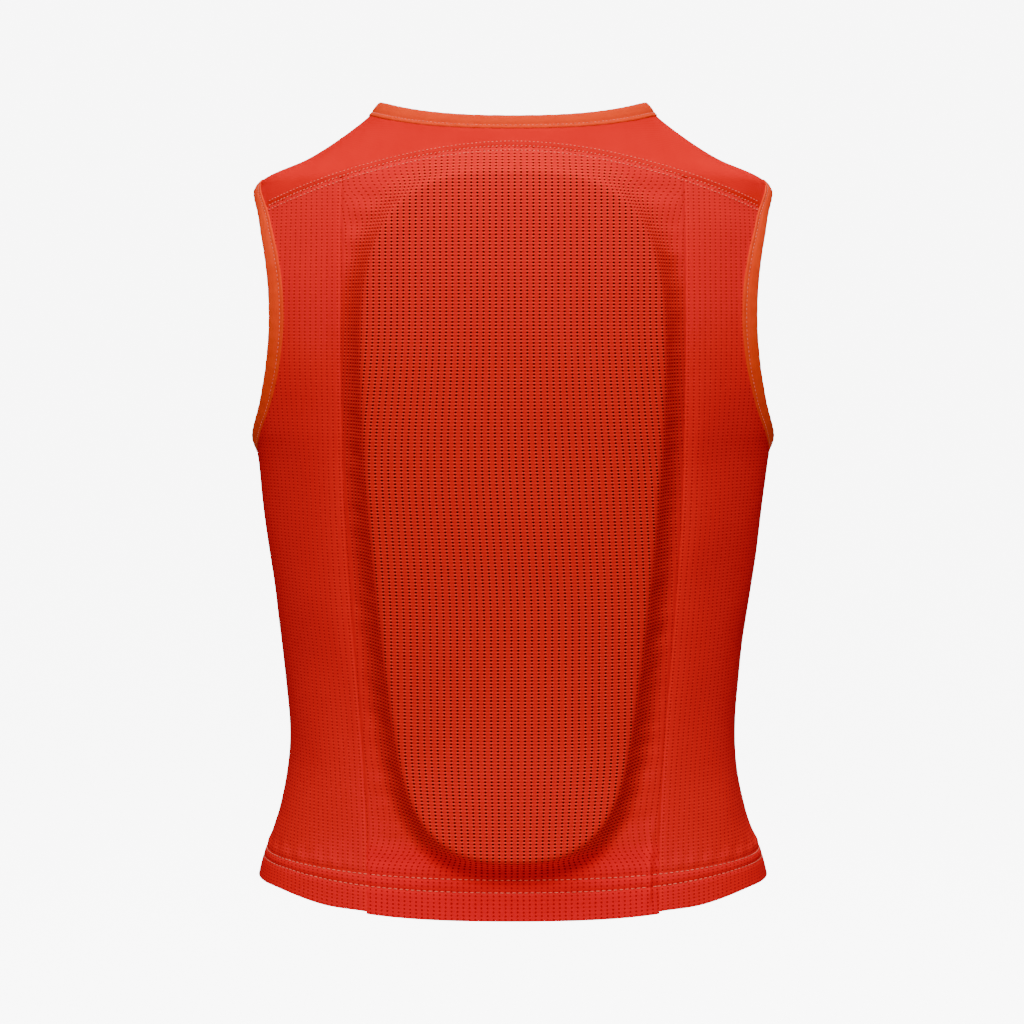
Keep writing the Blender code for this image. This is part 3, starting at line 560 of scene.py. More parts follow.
def cloth(name, points, material, thickness, uv=None, attributes=None):
    """A closed sheet: rows of points on its outer face, and the same moved in by its thickness."""
    rows, columns = points.shape[:2]
    normals = grid_normals(points)
    centre = np.array([0.0, 0.0, 0.25])
    flip = (normals * (points - centre) * np.array([1, 1, 0.1])).sum() < 0
    if flip:
        normals = -normals
    uv = cloth_coordinates(points) if uv is None else uv
    verts = np.concatenate([points.reshape(-1, 3), (points - thickness * normals).reshape(-1, 3)])
    index = np.arange(rows * columns).reshape(rows, columns)
    a, b, c, d = (x.ravel() for x in (index[:-1, :-1], index[:-1, 1:], index[1:, 1:], index[1:, :-1]))
    front = np.stack([a, b, c, d], -1)
    if flip:
        front = front[:, ::-1]
    back = front[:, ::-1] + rows * columns
    border = np.concatenate([index[0, :-1], index[:-1, -1], index[-1, :0:-1], index[:0:-1, 0]])
    after = np.roll(border, -1)
    rim = np.stack([after, border, border + rows * columns, after + rows * columns], -1)
    if flip:
        rim = rim[:, ::-1]
    both = {k: np.tile(np.asarray(v).ravel(), 2) for k, v in (attributes or {}).items()}
    faces = np.concatenate([front, back, rim]).tolist()
    piece = make_object(name, verts, faces, material, np.tile(uv.reshape(-1, 2), (2, 1)), both)
    piece["cut"] = cut_size(points)
    return piece


def rungs(ring):
    """Faces across a closed ring of points whose first and middle ones lie furthest apart across."""
    half = len(ring) // 2
    quarter = half // 2
    ring = np.roll(ring, quarter)
    faces = []
    for i in range(half):
        corners = [ring[i], ring[i + 1], ring[-(i + 1)]] + ([ring[-i]] if i else [])
        faces.append([int(c) for c in dict.fromkeys(corners)])
    return faces


def swept(name, rings, material, ladder=False):
    """A tube or band: rings of points, each closed, along a path; the ends are closed.

    With ladder, each end is closed by rungs from one half of its ring to the other.
    """
    count, size = rings.shape[:2]
    index = np.arange(count * size).reshape(count, size)
    nxt = np.roll(index, -1, 1)
    sides = np.stack([index[:-1], nxt[:-1], nxt[1:], index[1:]], -1).reshape(-1, 4)
    centre = rings.mean(1)
    outwards = rings - centre[:, None]
    normal = np.cross(rings[:-1, (np.arange(size) + 1) % size] - rings[:-1], rings[1:] - rings[:-1])
    if (normal * outwards[:-1]).sum() < 0:
        sides = sides[:, ::-1]
        ends = [index[0], index[-1][::-1]]
    else:
        ends = [index[0][::-1], index[-1]]
    if ladder:
        ends = [rung for end in ends for rung in rungs(end)]
    else:
        ends = [end.tolist() for end in ends]
    around = np.linalg.norm(rings - np.roll(rings, 1, 1), axis=-1)
    u = np.concatenate([[0.0], np.cumsum(np.linalg.norm(np.diff(centre, axis=0), axis=-1))])
    uv = np.stack([np.broadcast_to(u[:, None], around.shape), np.cumsum(around, 1)], -1)
    return make_object(name, rings.reshape(-1, 3), sides.tolist() + ends, material, uv.reshape(-1, 2))


# ---------------------------------------------------------------- surface detail

def groove(away):
    """The dip where a panel turns in to its seam."""
    return -SEAM_DEPTH * np.exp(-((away / SEAM_WIDTH) ** 2))


def near_level(z, level, spread):
    return np.exp(-(((z - level) / spread) ** 2))


def hem_shape(z):
    """The turned hem: thicker cloth, drawn in along its two stitched rows."""
    body = 0.0006 * (1 - blend((z - 0.019) / 0.004))
    rows = sum(-0.00075 * near_level(z, row, 0.0010) for row in HEM_ROWS)
    return body + rows + 0.0005 * near_level(z, 0.0240, 0.0022)


def settle(points):
    """The hem hangs a little lower at the back and front than at the sides."""
    points = points.copy()
    reach = np.where(points[..., 1] > 0, 0.0081, 0.0050)
    sag = 0.0046 - reach * blend((np.abs(points[..., 1]) - 0.036) / 0.052)
    points[..., 2] += sag * (1 - blend(points[..., 2] / 0.028))
    return points


def soft_noise(points, scale, amount, seed):
    """Slow unevenness of the cloth."""
    flat = points.reshape(-1, 3) * scale + seed
    return amount * np.array([noise.noise(Vector(p)) for p in flat]).reshape(points.shape[:2])


def edge_columns(count, width):
    """Shares from 0 to 1, closer together beside both edges of a panel this wide."""
    near = np.array([0.0, 0.0004, 0.0009, 0.0015, 0.0024]) / width
    return np.concatenate([near[:-1], np.linspace(near[-1], 1 - near[-1], count), 1 - near[-2::-1]])


HEM_LEVELS = np.array([
    0.0, 0.0008, 0.0025, 0.0050, 0.0075, 0.0100, 0.0118, 0.0128, 0.0135, 0.0140, 0.0145, 0.0152,
    0.0162, 0.0172, 0.0182, 0.0190, 0.0195, 0.0200, 0.0205, 0.0212, 0.0222, 0.0234, 0.0248, 0.0264,
])


def make_back_panel():
    """The pocket's outer face, stretched over the plate."""
    shares = 2 * edge_columns(118, 2 * CENTRE_PANEL_TOP) - 1
    tops = np.full(shares.shape, YOKE_SEAM_BACK)
    for _ in range(20):
        tops = yoke_seam(shares * centre_seam(tops))
    rises = np.concatenate([
        HEM_LEVELS / tops.min(), np.linspace(0.0280 / tops.min(), 0.992, 240),
        [0.995, 0.9972, 0.9988, 1.0],
    ])
    z = rises[:, None] * tops[None, :]
    x = shares[None, :] * centre_seam(z)
    side_gap = centre_seam(z) * (1 - np.abs(shares))[None, :]
    top_gap = tops[None, :] - z
    lift = panel_lift(x, z)
    points, out = on_back(x, z, lift)
    relief = groove(side_gap) + groove(top_gap) + hem_shape(z) * (1 - 0.5 * blend(lift / 0.004))
    points = points + relief[..., None] * out
    away = beside_plate(x, z)
    # A pleat gathered beside the plate's lower right corner, and slack cloth in the slope's corners
    pleat = 0.0017 * np.exp(-(((x + 0.0775 + 0.06 * (z - 0.02)) / 0.0016) ** 2))
    pleat *= blend((z - 0.002) / 0.01) * (1 - blend((z - 0.030) / 0.025))
    loose = soft_noise(points * np.array([1.0, 1.0, 2.6]), 42.0, 0.0009, 3.0) * blend(away / 0.004)
    loose = loose * blend((z - 0.024) / 0.012) * blend((top_gap - 0.004) / 0.01)
    loose = loose * blend(side_gap / 0.008)
    points = settle(points + (pleat + loose)[..., None] * out)
    uv = cloth_coordinates(points)
    spread = 1 - 0.10 * blend((0.34 - z) / 0.10) * (1 - blend((0.10 - z) / 0.08))
    lean = 0.005 * blend((0.28 - z) / 0.12)
    grain = np.stack([uv[..., 0] * spread + lean, z], -1)
    on_plate = blend((0.0014 - away) / 0.0022)
    # Beside the plate the holes are wider, as the cloth is stretched there too, and near-black:
    # painted shade in the hollow under the slope
    near = 0.80 * blend((0.0170 - away) / 0.011)
    deep = (1 - blend((z - 0.030) / 0.012)) * (1 - on_plate)
    # edge: a band on the slope beside the plate where painted shade darkens the cloth
    edge = blend((away + 0.0002) / 0.0010) * (1 - blend((away - 0.004) / 0.020))
    # vent marks where the holes are painted near-black, painted shade in the foam's vent hollows
    facts = {"plate": np.maximum(on_plate, near), "vent": vents(x, z), "deep": deep, "edge": edge}
    return cloth("back_mesh", points, MESH, BODY_CLOTH, grain, facts)


def body_panel(name, side, back, inner, top, columns, rows):
    """A mesh panel from the hem to its top seam, between the outer edge and an inner line."""
    corner = ARMHOLE_MID + UNDER_SHIFT - ARMHOLE_HALF_HEIGHT - UNDER_UP
    shares = edge_columns(columns, 0.13)
    tops = top(shares)
    turn = math.radians(145)
    rises = (1 - np.cos(np.linspace(0, turn, rows[1] + 1)[1:])) / (1 - math.cos(turn))
    low_rows = np.concatenate([HEM_LEVELS, np.linspace(0.0282, corner, rows[0])])
    rises = np.sort(np.concatenate([rises, 1 - np.array([0.0012, 0.0006]) / 0.12]))
    z = np.concatenate([
        np.repeat(low_rows[:, None], len(shares), 1),
        corner + (tops[None, :] - corner) * rises[:, None],
    ])
    out, far = outer_edge(z, back), inner(z)
    angle = out + (far - out) * shares[None, :]
    points = shell(angle, z)
    normals = outward(points[..., 0], points[..., 1], z)
    steps = np.linalg.norm(np.diff(points, axis=1), axis=-1)
    run = np.concatenate([np.zeros((len(z), 1)), np.cumsum(steps, 1)], 1)
    to_far, to_top = run[:, -1:] - run, tops[None, :] - z
    at_seam = np.where(z < corner, 1.0, 0.0)
    lift = groove(to_far) + groove(to_top) + groove(run) * at_seam + hem_shape(z)
    # Slow folds: slack below the underarm, a hollow at the waist, puckers above the hem's rows
    slack = 0.0011 * np.sin(to_far * 95 + 5.0 * z) * near_level(z, 0.225, 0.06) * blend(run / 0.02)
    pucker = np.sin(to_far * 2 * math.pi / 0.0115 + 2 * np.sin(to_far * 60))
    pucker = 0.00045 * pucker * near_level(z, 0.0260, 0.0035)
    rough = soft_noise(points, 26.0, 0.0012, 7.0 * side) * blend((z - 0.024) / 0.014)
    lift = lift + (slack + pucker + rough * blend((to_top - 0.004) / 0.01)) * blend(to_far / 0.01)
    points = points + lift[..., None] * normals
    if back:
        points[..., 2] += 0.0014 * (1 - blend(z / 0.012)) * (1 - blend(to_far / 0.030))
    points[..., 0] *= side
    points = settle(points)
    uv = cloth_coordinates(points, middle=len(shares) - 1)
    grain = np.stack([uv[..., 0], z], -1)
    deep = (1 - blend((z - 0.016) / 0.008)) * 0.55
    plate = np.zeros_like(z)
    return cloth(name, points, MESH, BODY_CLOTH, grain, {"plate": plate, "vent": plate, "deep": deep})


def make_side_panel(side, name):
    def inner(z):
        return angle_at_x(centre_seam(z), z)

    def top(shares):
        z = np.full(shares.shape, YOKE_SEAM_BACK)
        for _ in range(14):
            out = outer_edge(z, True)
            z = yoke_seam(shell(out + (inner(z) - out) * shares, z)[..., 0])
        return z

    return body_panel(name, side, True, inner, top, 52, (104, 62))


def make_front_panel(side, name):
    def inner(z):
        return -angle_at_x(FRONT_EDGE, z)

    def neckline(x):
        share = np.minimum(x / half_width(SHOULDER_UNDER), 1.0)
        return SHOULDER_UNDER - (SHOULDER_UNDER - NECK_UNDER) * np.sqrt(1 - share**2)

    def top(shares):
        low, high = np.full(shares.shape, 0.3), np.full(shares.shape, YOKE_SEAM_FRONT)
        for _ in range(40):
            z = (low + high) / 2
            out = outer_edge(z, False)
            below = z < neckline(shell(out + (inner(z) - out) * shares, z)[..., 0])
            low, high = np.where(below, z, low), np.where(below, high, z)
        return low

    return body_panel(name, side, False, inner, top, 76, (100, 46))


def yoke_corner():
    """The turn round the back armhole at which the yoke's seam meets it, and x there."""
    low, high = 0.0, math.pi / 2
    for _ in range(40):
        turn = (low + high) / 2
        angle, z = armhole(UNDER, np.array(turn), True)
        if z < yoke_seam(shell(angle, z)[..., 0]):
            low = turn
        else:
            high = turn
    return high, float(shell(*armhole(UNDER, np.array(high), True))[0])


YOKE_TURN, YOKE_END = yoke_corner()


def make_back_yoke():
    """Half its lower edge runs down the armhole to the seam, then along the seam to the middle."""
    armhole_share = 0.25
    shares = np.linspace(0, armhole_share, 22)[:-1]
    shares = np.concatenate([shares, np.linspace(armhole_share, 1, 70)])
    turns = math.pi / 2 + (YOKE_TURN - math.pi / 2) * np.minimum(shares / armhole_share, 1.0)
    low_angle, low_z = armhole(UNDER, turns, True)
    seam_x = YOKE_END * (1 - np.maximum(shares - armhole_share, 0) / (1 - armhole_share))
    on_seam = shares > armhole_share
    low_z = np.where(on_seam, yoke_seam(seam_x), low_z)
    low_angle = np.where(on_seam, angle_at_x(seam_x, low_z), low_angle)
    high_angle, high_z = neck(UNDER, shares * math.pi / 2, True)
    t = edge_columns(22, 0.03)[:, None]
    angle, z = low_angle + (high_angle - low_angle) * t, low_z + (high_z - low_z) * t
    points = shell(np.maximum(angle, AT_SHOULDER), z)
    normals = outward(points[..., 0], points[..., 1], z)
    to_seam = t * np.hypot(high_z - low_z, 0.012)
    inside = blend(to_seam / 0.008) * blend((1 - t) * 4)
    lift = np.where(on_seam, groove(to_seam), 0.0) + inside * soft_noise(points, 30.0, 0.0010, 11.0)
    points = points + lift[..., None] * normals
    other = points[:, -2::-1] * MIRROR
    return cloth("back_yoke_cloth", np.concatenate([points, other], 1), JERSEY, BODY_CLOTH)


def make_front_yoke(side, name):
    above_middle = YOKE_SEAM_FRONT - ARMHOLE_MID - UNDER_SHIFT
    outer_turn = math.asin(above_middle / (ARMHOLE_HALF_HEIGHT + UNDER_UP))
    inner_turn = math.asin((SHOULDER_UNDER - YOKE_SEAM_FRONT) / (SHOULDER_UNDER - NECK_UNDER))
    shares = np.linspace(0, 1, 44)[:, None]
    out_angle, out_z = armhole(UNDER, math.pi / 2 + (outer_turn - math.pi / 2) * shares, False)
    in_angle, in_z = neck(UNDER, inner_turn * shares, False)
    t = np.linspace(0, 1, 36)[None, :]
    angle, z = out_angle + (in_angle - out_angle) * t, out_z + (in_z - out_z) * t
    z = np.maximum(z, YOKE_SEAM_FRONT)
    points = shell(np.minimum(angle, -AT_SHOULDER), z)
    normals = outward(points[..., 0], points[..., 1], z)
    inside = blend((1 - shares) * 8) * blend(t * 4) * blend((1 - t) * 4)
    lift = groove((1 - shares) * 0.06) + inside * soft_noise(points, 30.0, 0.0008, 13.0)
    points = points + lift[..., None] * normals
    points[0, :, 1] = SHOULDER_OVERLAP
    points[..., 0] *= side
    return cloth(name, points, JERSEY, BODY_CLOTH)


# Cross-section of a folded binding: share of its width, and lift off the shell in millimetres
BINDING_PROFILE = [
    (0.00, -0.6), (0.01, 0.2), (0.05, 0.72), (0.14, 0.98), (0.30, 1.05), (0.50, 0.98), (0.62, 0.80),
    (0.70, 0.42), (0.75, 0.30), (0.80, 0.45), (0.88, 0.62), (0.94, 0.50), (0.97, 0.10), (0.97, -1.1),
    (0.94, -1.7), (0.80, -1.8), (0.50, -1.95), (0.20, -1.9), (0.06, -1.6), (0.01, -1.2),
]


def binding_rings(edge, turns, side, back):
    """Rings round a folded binding, along the armhole's or the neck's edge, faintly rippled."""
    ripple = 0.00012 * np.sin(np.arange(len(turns)) * 1.7)
    rings = np.stack([
        shell(*edge(k, turns, back), lift / 1000 + ripple * (lift > 0)) for k, lift in BINDING_PROFILE
    ], 1)
    rings[..., 0] *= side
    return rings


def make_armhole_binding(side, back, name):
    turns = np.linspace(-math.pi / 2, math.pi / 2, 110)
    return swept(name, binding_rings(armhole, turns, side, back), BINDING_LOOK)


NECK_TURN = math.acos(FRONT_EDGE / float(half_width(NECK_SHOULDER)))   # from the shoulder to the zip


def make_neck_binding(side, name):
    """One front's binding, or with side 0 the back's."""
    if side:
        rings = binding_rings(neck, np.linspace(0, NECK_TURN, 90), side, False)
        rings[0, :, 1] = SHOULDER_OVERLAP
    else:
        half = binding_rings(neck, np.linspace(0, math.pi / 2, 60), 1, True)
        rings = np.concatenate([half, half[-2::-1] * MIRROR])
    return swept(name, rings, BINDING_LOOK)


def inner_cloth(name, half_at, low, high, lift, material, thickness, rows):
    """A sheet on the inside of the back, lift above the shell's outer face.

    Its half width may be a function of z, and its top one of x.
    """
    top = high if callable(high) else (lambda x: high)
    level = np.linspace(low, float(top(0.0)), rows)[:, None]
    x = np.linspace(-1, 1, 64)[None, :] * (half_at(level) if callable(half_at) else half_at)
    z = low + np.linspace(0, 1, rows)[:, None] * (top(x) - low)
    points = shell(back_angle(x, z), z, lift)
    points = points + soft_noise(points, 30.0, 0.0003, 17.0)[..., None] * grid_normals(points)
    return cloth(name, points, material, thickness)


def make_seam_allowance(side, name):
    """The overlocked edges inside a seam of the centre panel, or with side 0 of the yoke."""
    if side:
        z = np.linspace(0.0015, float(yoke_seam(CENTRE_PANEL_TOP)) - 0.0010, 170)[:, None]
        x = centre_seam(z) + np.linspace(-0.0030, 0.0030, 7)[None, :]
    else:
        x = np.linspace(0.0010 - YOKE_END, YOKE_END - 0.0010, 150)[None, :]
        z = yoke_seam(x) + np.linspace(-0.0030, 0.0030, 7)[:, None]
    points = settle(shell(back_angle(x, z), z, -0.0014))
    points[..., 0] *= side or 1
    return cloth(name, points, JERSEY, 0.0004)


def make_hem_elastic(side, name):
    """One front's elastic, or with side 0 the back's."""
    if side:
        angles = -np.linspace(1e-4, float(angle_at_x(np.array(0.0165), np.array(0.01))), 70)
    else:
        angles = np.linspace(1e-4, math.pi - 1e-4, 120)
    z = np.linspace(0.0006, HEM_BAND, 8)[:, None]
    points = shell(angles[None, :], z, -CLOTH - 0.0007)
    points[..., 0] *= side or 1
    return cloth(name, settle(points), ELASTIC, 0.0009)


def plate_rings(shares, reach, surface):
    """Rings of points from the plate's middle out to its edge: (share of the way, inset) each."""
    count = len(OUTLINE_COARSE)
    centre = plate_middle(2 * np.pi * np.arange(count) / count)
    middle = np.stack([np.zeros(count), centre], -1)
    edge = OUTLINE_COARSE - middle
    length = np.linalg.norm(edge, axis=-1, keepdims=True)
    return np.stack([
        surface(*(edge * ((length + reach - inset) / length) * share + middle).T)
        for share, inset in shares
    ])


# A foam layer's rim from its top to its bottom: inset, and share of the layer's height
FOAM_RIM = ((0.0012, 0.02), (0.0004, 0.10), (0.0, 0.25), (0.0, 0.75), (0.0004, 0.9), (0.0012, 0.98))


def make_foam(name, low, high, reach):
    """One curved layer of the plate: rounded rim, vent holes sunk in its face."""
    def at(lift, dimple=0.0):
        def surface(x, z):
            return np.stack([x, back_y(x, z) + lift - dimple * vents(x, z), z], -1)
        return surface

    shares = [(share, 0.0) for share in np.linspace(0.02, 0.985, 34)]
    rings = [plate_rings(shares, reach, at(high, 0.004))]
    for inset, drop in FOAM_RIM:
        rings += [plate_rings([(1.0, inset)], reach, at(high - drop * (high - low)))]
    rings += [plate_rings(shares[::-1], reach, at(low))]
    return swept(name, np.concatenate(rings), FOAM, ladder=True)


# ---------------------------------------------------------------- stitches

def evenly(curve, pitch):
    """Points, directions and outward normals at an even pitch along a curve of t from 0 to 1."""
    points, normals = curve(np.linspace(0, 1, 2400))
    run = np.concatenate([[0.0], np.cumsum(np.linalg.norm(np.diff(points, axis=0), axis=-1))])

    def read(values, at):
        return np.stack([np.interp(at, run, values[:, i]) for i in range(3)], -1)

    stops = np.arange(pitch / 2, run[-1], pitch)
    along = read(points, stops + pitch / 4) - read(points, stops - pitch / 4)
    return read(points, stops), unit(along), unit(read(normals, stops))


def stitch_mesh(runs):
    """Grains of thread: (curve, pitch, length, radius, skew) each, all in one mesh."""
    verts, faces, base = [], [], 0
    sides, sink = 5, 0.6
    # Each grain's rings: place along it, size, and rise off the cloth
    rings = ((-0.32, 0.8, 0.25), (0.0, 1.0, 0.55), (0.32, 0.8, 0.25))
    turns = [2 * math.pi * i / sides for i in range(sides)]
    for curve, pitch, length, radius, skew in runs:
        at, along, out = evenly(curve, pitch)
        along = unit(along + skew * np.cross(out, along))
        across = np.cross(out, along)
        for p, a, n, c in zip(at, along, out, across):
            verts.append(p - a * length / 2 - n * radius * sink)
            for end, scale, rise in rings:
                middle, size = p + a * length * end, scale * radius
                verts.extend(
                    middle + size * (c * math.cos(turn) + n * (math.sin(turn) + rise))
                    for turn in turns
                )
            verts.append(p + a * length / 2 - n * radius * sink)
            for i in range(sides):
                j = (i + 1) % sides
                faces.append((base, base + 1 + j, base + 1 + i))
                for ring in (0, 1):
                    k = base + 1 + ring * sides
                    faces.append((k + i, k + j, k + sides + j, k + sides + i))
                k = base + 1 + 2 * sides
                faces.append((k + i, k + j, base + 1 + 3 * sides))
            base += 3 * sides + 2
    return verts, faces


def on_shell(place, side, lift):
    """A curve on the shell, whose angle and height are place(t)."""
    def curve(t):
        angle, z = np.broadcast_arrays(*place(t))
        points = shell(angle, z, lift)
        normals = outward(*np.moveaxis(shell(angle, z), -1, 0))
        return settle(points) * np.array([side, 1, 1]), normals * np.array([side, 1, 1])
    return curve


# Each kind of row: pitch, length, radius and skew of its grains of thread
EDGE_STITCH = (0.0024, 0.0016, 0.00027, 0.0)
HEM_STITCH = (0.0034, 0.0025, 0.00032, 0.0)
FRONT_YOKE_STITCH = (0.0024, 0.0015, 0.00028, 0.0)
ZIP_STITCH = (0.0026, 0.0019, 0.00020, 0.0)
OUTER_YOKE_STITCH = (0.0023, 0.0014, 0.00030, 0.0)
MIDDLE_YOKE_STITCH = (0.0023, 0.0014, 0.00030, 0.55)
STITCH_LINE = 0.76   # a binding's row of stitches, as a share of its width
BINDING_STITCH_LIFT, HEM_STITCH_LIFT, FLAT_STITCH_LIFT = 0.00038, 0.00018, 0.0001


def armhole_row(side, back):
    return on_shell(
        lambda t: armhole(STITCH_LINE, -math.pi / 2 + math.pi * t, back), side, BINDING_STITCH_LIFT
    )


def neck_row(side, back):
    end = math.pi / 2 if back else NECK_TURN
    return on_shell(lambda t: neck(STITCH_LINE, end * t, back), side, BINDING_STITCH_LIFT)


def hem_row(side, back, row):
    """Along the hem from the side seam to the centre panel, or to the zip."""
    z = np.array(row)
    end = angle_at_x(centre_seam(z) - 0.0006, z) if back else -angle_at_x(FRONT_EDGE + 0.001, z)
    return on_shell(lambda t: (end * (0.004 + 0.996 * t), z), side, HEM_STITCH_LIFT)


def edge_rows(side, back):
    """The rows along one side's armhole, neck and hem."""
    rows = [(armhole_row(side, back), *EDGE_STITCH), (neck_row(side, back), *EDGE_STITCH)]
    return rows + [(hem_row(side, back, row), *HEM_STITCH) for row in HEM_ROWS]


def hem_row_centre(row):
    def curve(t):
        x = (2 * t - 1) * (CENTRE_PANEL_HEM - 0.001)
        z = np.full(t.shape, row)
        points, out = on_back(x, z, panel_lift(x, z))
        return settle(points + HEM_STITCH_LIFT * out), out
    return curve


def yoke_row(offset):
    """Along the back yoke's seam, offset up from it."""
    def curve(t):
        x = (2 * t - 1) * (YOKE_END - 0.0015)
        z = yoke_seam(x) + offset
        points, out = on_back(x, z, panel_lift(x, z) if offset < 0 else 0.0)
        return points + FLAT_STITCH_LIFT * out, out
    return curve


def front_yoke_row(side, offset):
    z = np.array(YOKE_SEAM_FRONT + offset)
    rise = (SHOULDER_UNDER - float(z)) / (SHOULDER_UNDER - NECK_UNDER)
    start = outer_edge(z, False)
    end = -angle_at_x(float(half_width(SHOULDER_UNDER)) * math.sqrt(1 - rise**2), z)
    return on_shell(lambda t: (start + (end - start) * (0.015 + 0.97 * t), z), side, FLAT_STITCH_LIFT)


def front_edge_row(side):
    def place(t):
        z = 0.004 + (NECK_FRONT - BINDING - 0.006) * t
        return -angle_at_x(FRONT_EDGE + 0.0024, z), z
    return on_shell(place, side, FLAT_STITCH_LIFT)


# ---------------------------------------------------------------- zip

ZIP_TILT = math.atan(FRONT_LEAN)


def from_zip(points):
    """From the zip's own frame (x across, y inwards, z along) to the object's."""
    c, s = math.cos(-ZIP_TILT), math.sin(-ZIP_TILT)
    x, y, z = np.moveaxis(np.asarray(points, float), -1, 0)
    return np.stack([x, c * y - s * z - FRONT_DEPTH_HEM, s * y + c * z], -1)


def make_coil(side, name):
    """A nylon coil: a helix squeezed flat, its turns 1.5 mm apart and between the other coil's."""
    pitch, per_turn, wire, sides = 0.0015, 12, 0.00034, 6
    low, high = 0.0205, ZIP_START + ZIP_LENGTH - 0.0035
    middle_x, middle_y, reach_x, reach_y = 0.00125, 0.0006, 0.00180 - wire, 0.0010 - wire
    count = int((high - low - 2 * wire) / pitch * per_turn)
    phase = 2 * np.pi * np.arange(count) / per_turn
    centre = np.stack([
        middle_x + reach_x * np.cos(phase), middle_y + reach_y * np.sin(phase),
        low + wire + pitch * phase / (2 * np.pi) + (0.0 if side > 0 else pitch / 2),
    ], -1)
    out = np.stack([np.cos(phase), np.sin(phase), 0 * phase], -1)
    other = np.cross(unit(np.gradient(centre, axis=0)), out)
    turns = 2 * np.pi * np.arange(sides) / sides
    rings = (
        centre[:, None] + wire * np.cos(turns)[None, :, None] * out[:, None]
        + wire * np.sin(turns)[None, :, None] * other[:, None]
    )
    rings[..., 0] *= side
    return swept(name, from_zip(rings), NYLON)


def make_tape(side, name):
    z = np.linspace(ZIP_START, ZIP_START + ZIP_LENGTH + 0.0015, 150)[:, None]
    x = np.concatenate([np.linspace(0.0, 0.0040, 8), np.linspace(0.0050, 0.0150, 12)])[None, :]
    ridge = 0.00012 * np.cos((x - 0.001) * 2 * math.pi / 0.0025)
    y = 0.0019 - np.maximum(ridge, 0) + 0 * z
    points = np.stack(np.broadcast_arrays(side * x, y, z), -1)
    return cloth(name, from_zip(points), TAPE, 0.0007)


def make_chin_guard():
    top = ZIP_START + ZIP_LENGTH
    z = np.linspace(top - 0.034, top + 0.003, 30)[:, None]
    x = np.linspace(0.0006, 0.0155, 14)[None, :]
    bulge = 0.0002 * np.sin((x - 0.0006) / 0.0149 * math.pi)
    y = 0.0046 - bulge + 0 * z
    points = np.stack(np.broadcast_arrays(x, y, z), -1)
    return cloth("chin_tab", from_zip(points), JERSEY, 0.0009)


# ---------------------------------------------------------------- assembly


def attach(piece, body, nodes, slot):
    """A front's or the flap's piece keeps its place, baked into its mesh; any other is put under its
    body's empty. The CAD nodes it stands for are hidden.
    """
    if body.startswith("front"):
        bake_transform(piece)
    elif body == "flap":
        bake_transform(piece)
    else:
        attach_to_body(piece, body)
    if nodes:
        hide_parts(*nodes)
    return piece


def attach_sheet(piece, body, nodes, slot, held, under):
    attach(piece, body, nodes, slot)
    width, length, area = piece["cut"]
    area = min(max(area, 0.3 * width * length), width * length)


def attach_metal(node, name, body):
    """A CAD part's own shape with its edges rounded, in lacquer."""
    piece = bpy.data.objects.new(name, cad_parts[node].data.copy())
    bpy.context.scene.collection.objects.link(piece)
    piece.data.materials.clear()
    piece.data.materials.append(LACQUER)
    piece.modifiers.new("weld", "WELD").merge_threshold = 0.00001
    edge = piece.modifiers.new("edges", "BEVEL")
    edge.width, edge.segments = 0.00022, 3
    edge.limit_method, edge.angle_limit = "ANGLE", math.radians(30)
    graph = bpy.context.evaluated_depsgraph_get()
    mesh = bpy.data.meshes.new_from_object(piece.evaluated_get(graph))
    piece.modifiers.clear()
    piece.data = mesh
    mesh.shade_smooth()
    mesh.set_sharp_from_angle(angle=SHARP_METAL)
    attach(piece, body, [node], "zip_metal")


def build_back():
    back, yoke = make_back_panel(), make_back_yoke()
    for name, node, low, high, reach in (
        ("foam_outer", "protector_outer_foam",
         FOAM_SPLIT + 0.0004, PLATE_LIFT - CLOTH - 0.0006, -0.0010),
        ("foam_inner", "protector_inner_foam", -0.0008, FOAM_SPLIT, 0.0015),
    ):
        attach(make_foam(name, low, high, reach), "back", [node], "foam")
    attach_sheet(back, "back", ["back_outer_panel"], "mesh_cloth", "stretched", "foam_outer")
    attach_sheet(yoke, "back", ["back_yoke"], "stretch_jersey", "stretched", "back_mesh")
    # The pocket's pieces: name, body, node, slot, how held and on what, then half width, low, high,
    # lift, material, thickness and rows
    pile = (0.050, 0.3555, 0.3695)
    for name, body, node, slot, held, under, *shape in (
        ("lining_cloth", "back", "pocket_lining", "mesh_cloth", "stretched", "back_mesh",
         lambda z: centre_seam(z) - 0.0004, HEM_BAND + 0.001, LINING_TOP, -0.0017, MESH, 0.0008, 120),
        ("header_cloth", "back", "pocket_header", "stretch_jersey", "stretched", "back_mesh",
         lambda z: centre_seam(z) - 0.006, HEADER_LOW, lambda x: yoke_seam(x) - 0.0010,
         -0.0026, JERSEY, 0.0009, 16),
        ("loop_pile", "back", "loop_strip", "hook_and_loop", "stretched", "lining_cloth",
         *pile, -0.0031, FLEECE, 0.0008, 8),
        ("flap_cloth", "flap", "pocket_flap", "stretch_jersey", "hung", "header_cloth",
         FLAP_HALF_WIDTH, FLAP_LOW, FLAP_TOP, -0.0053, JERSEY, 0.0009, 40),
        ("hook_pile", "flap", "hook_strip", "hook_and_loop", "stretched", "flap_cloth",
         *pile, -0.0043, FLEECE, 0.0007, 8),
    ):
        attach_sheet(inner_cloth(name, *shape), body, [node], slot, held, under)


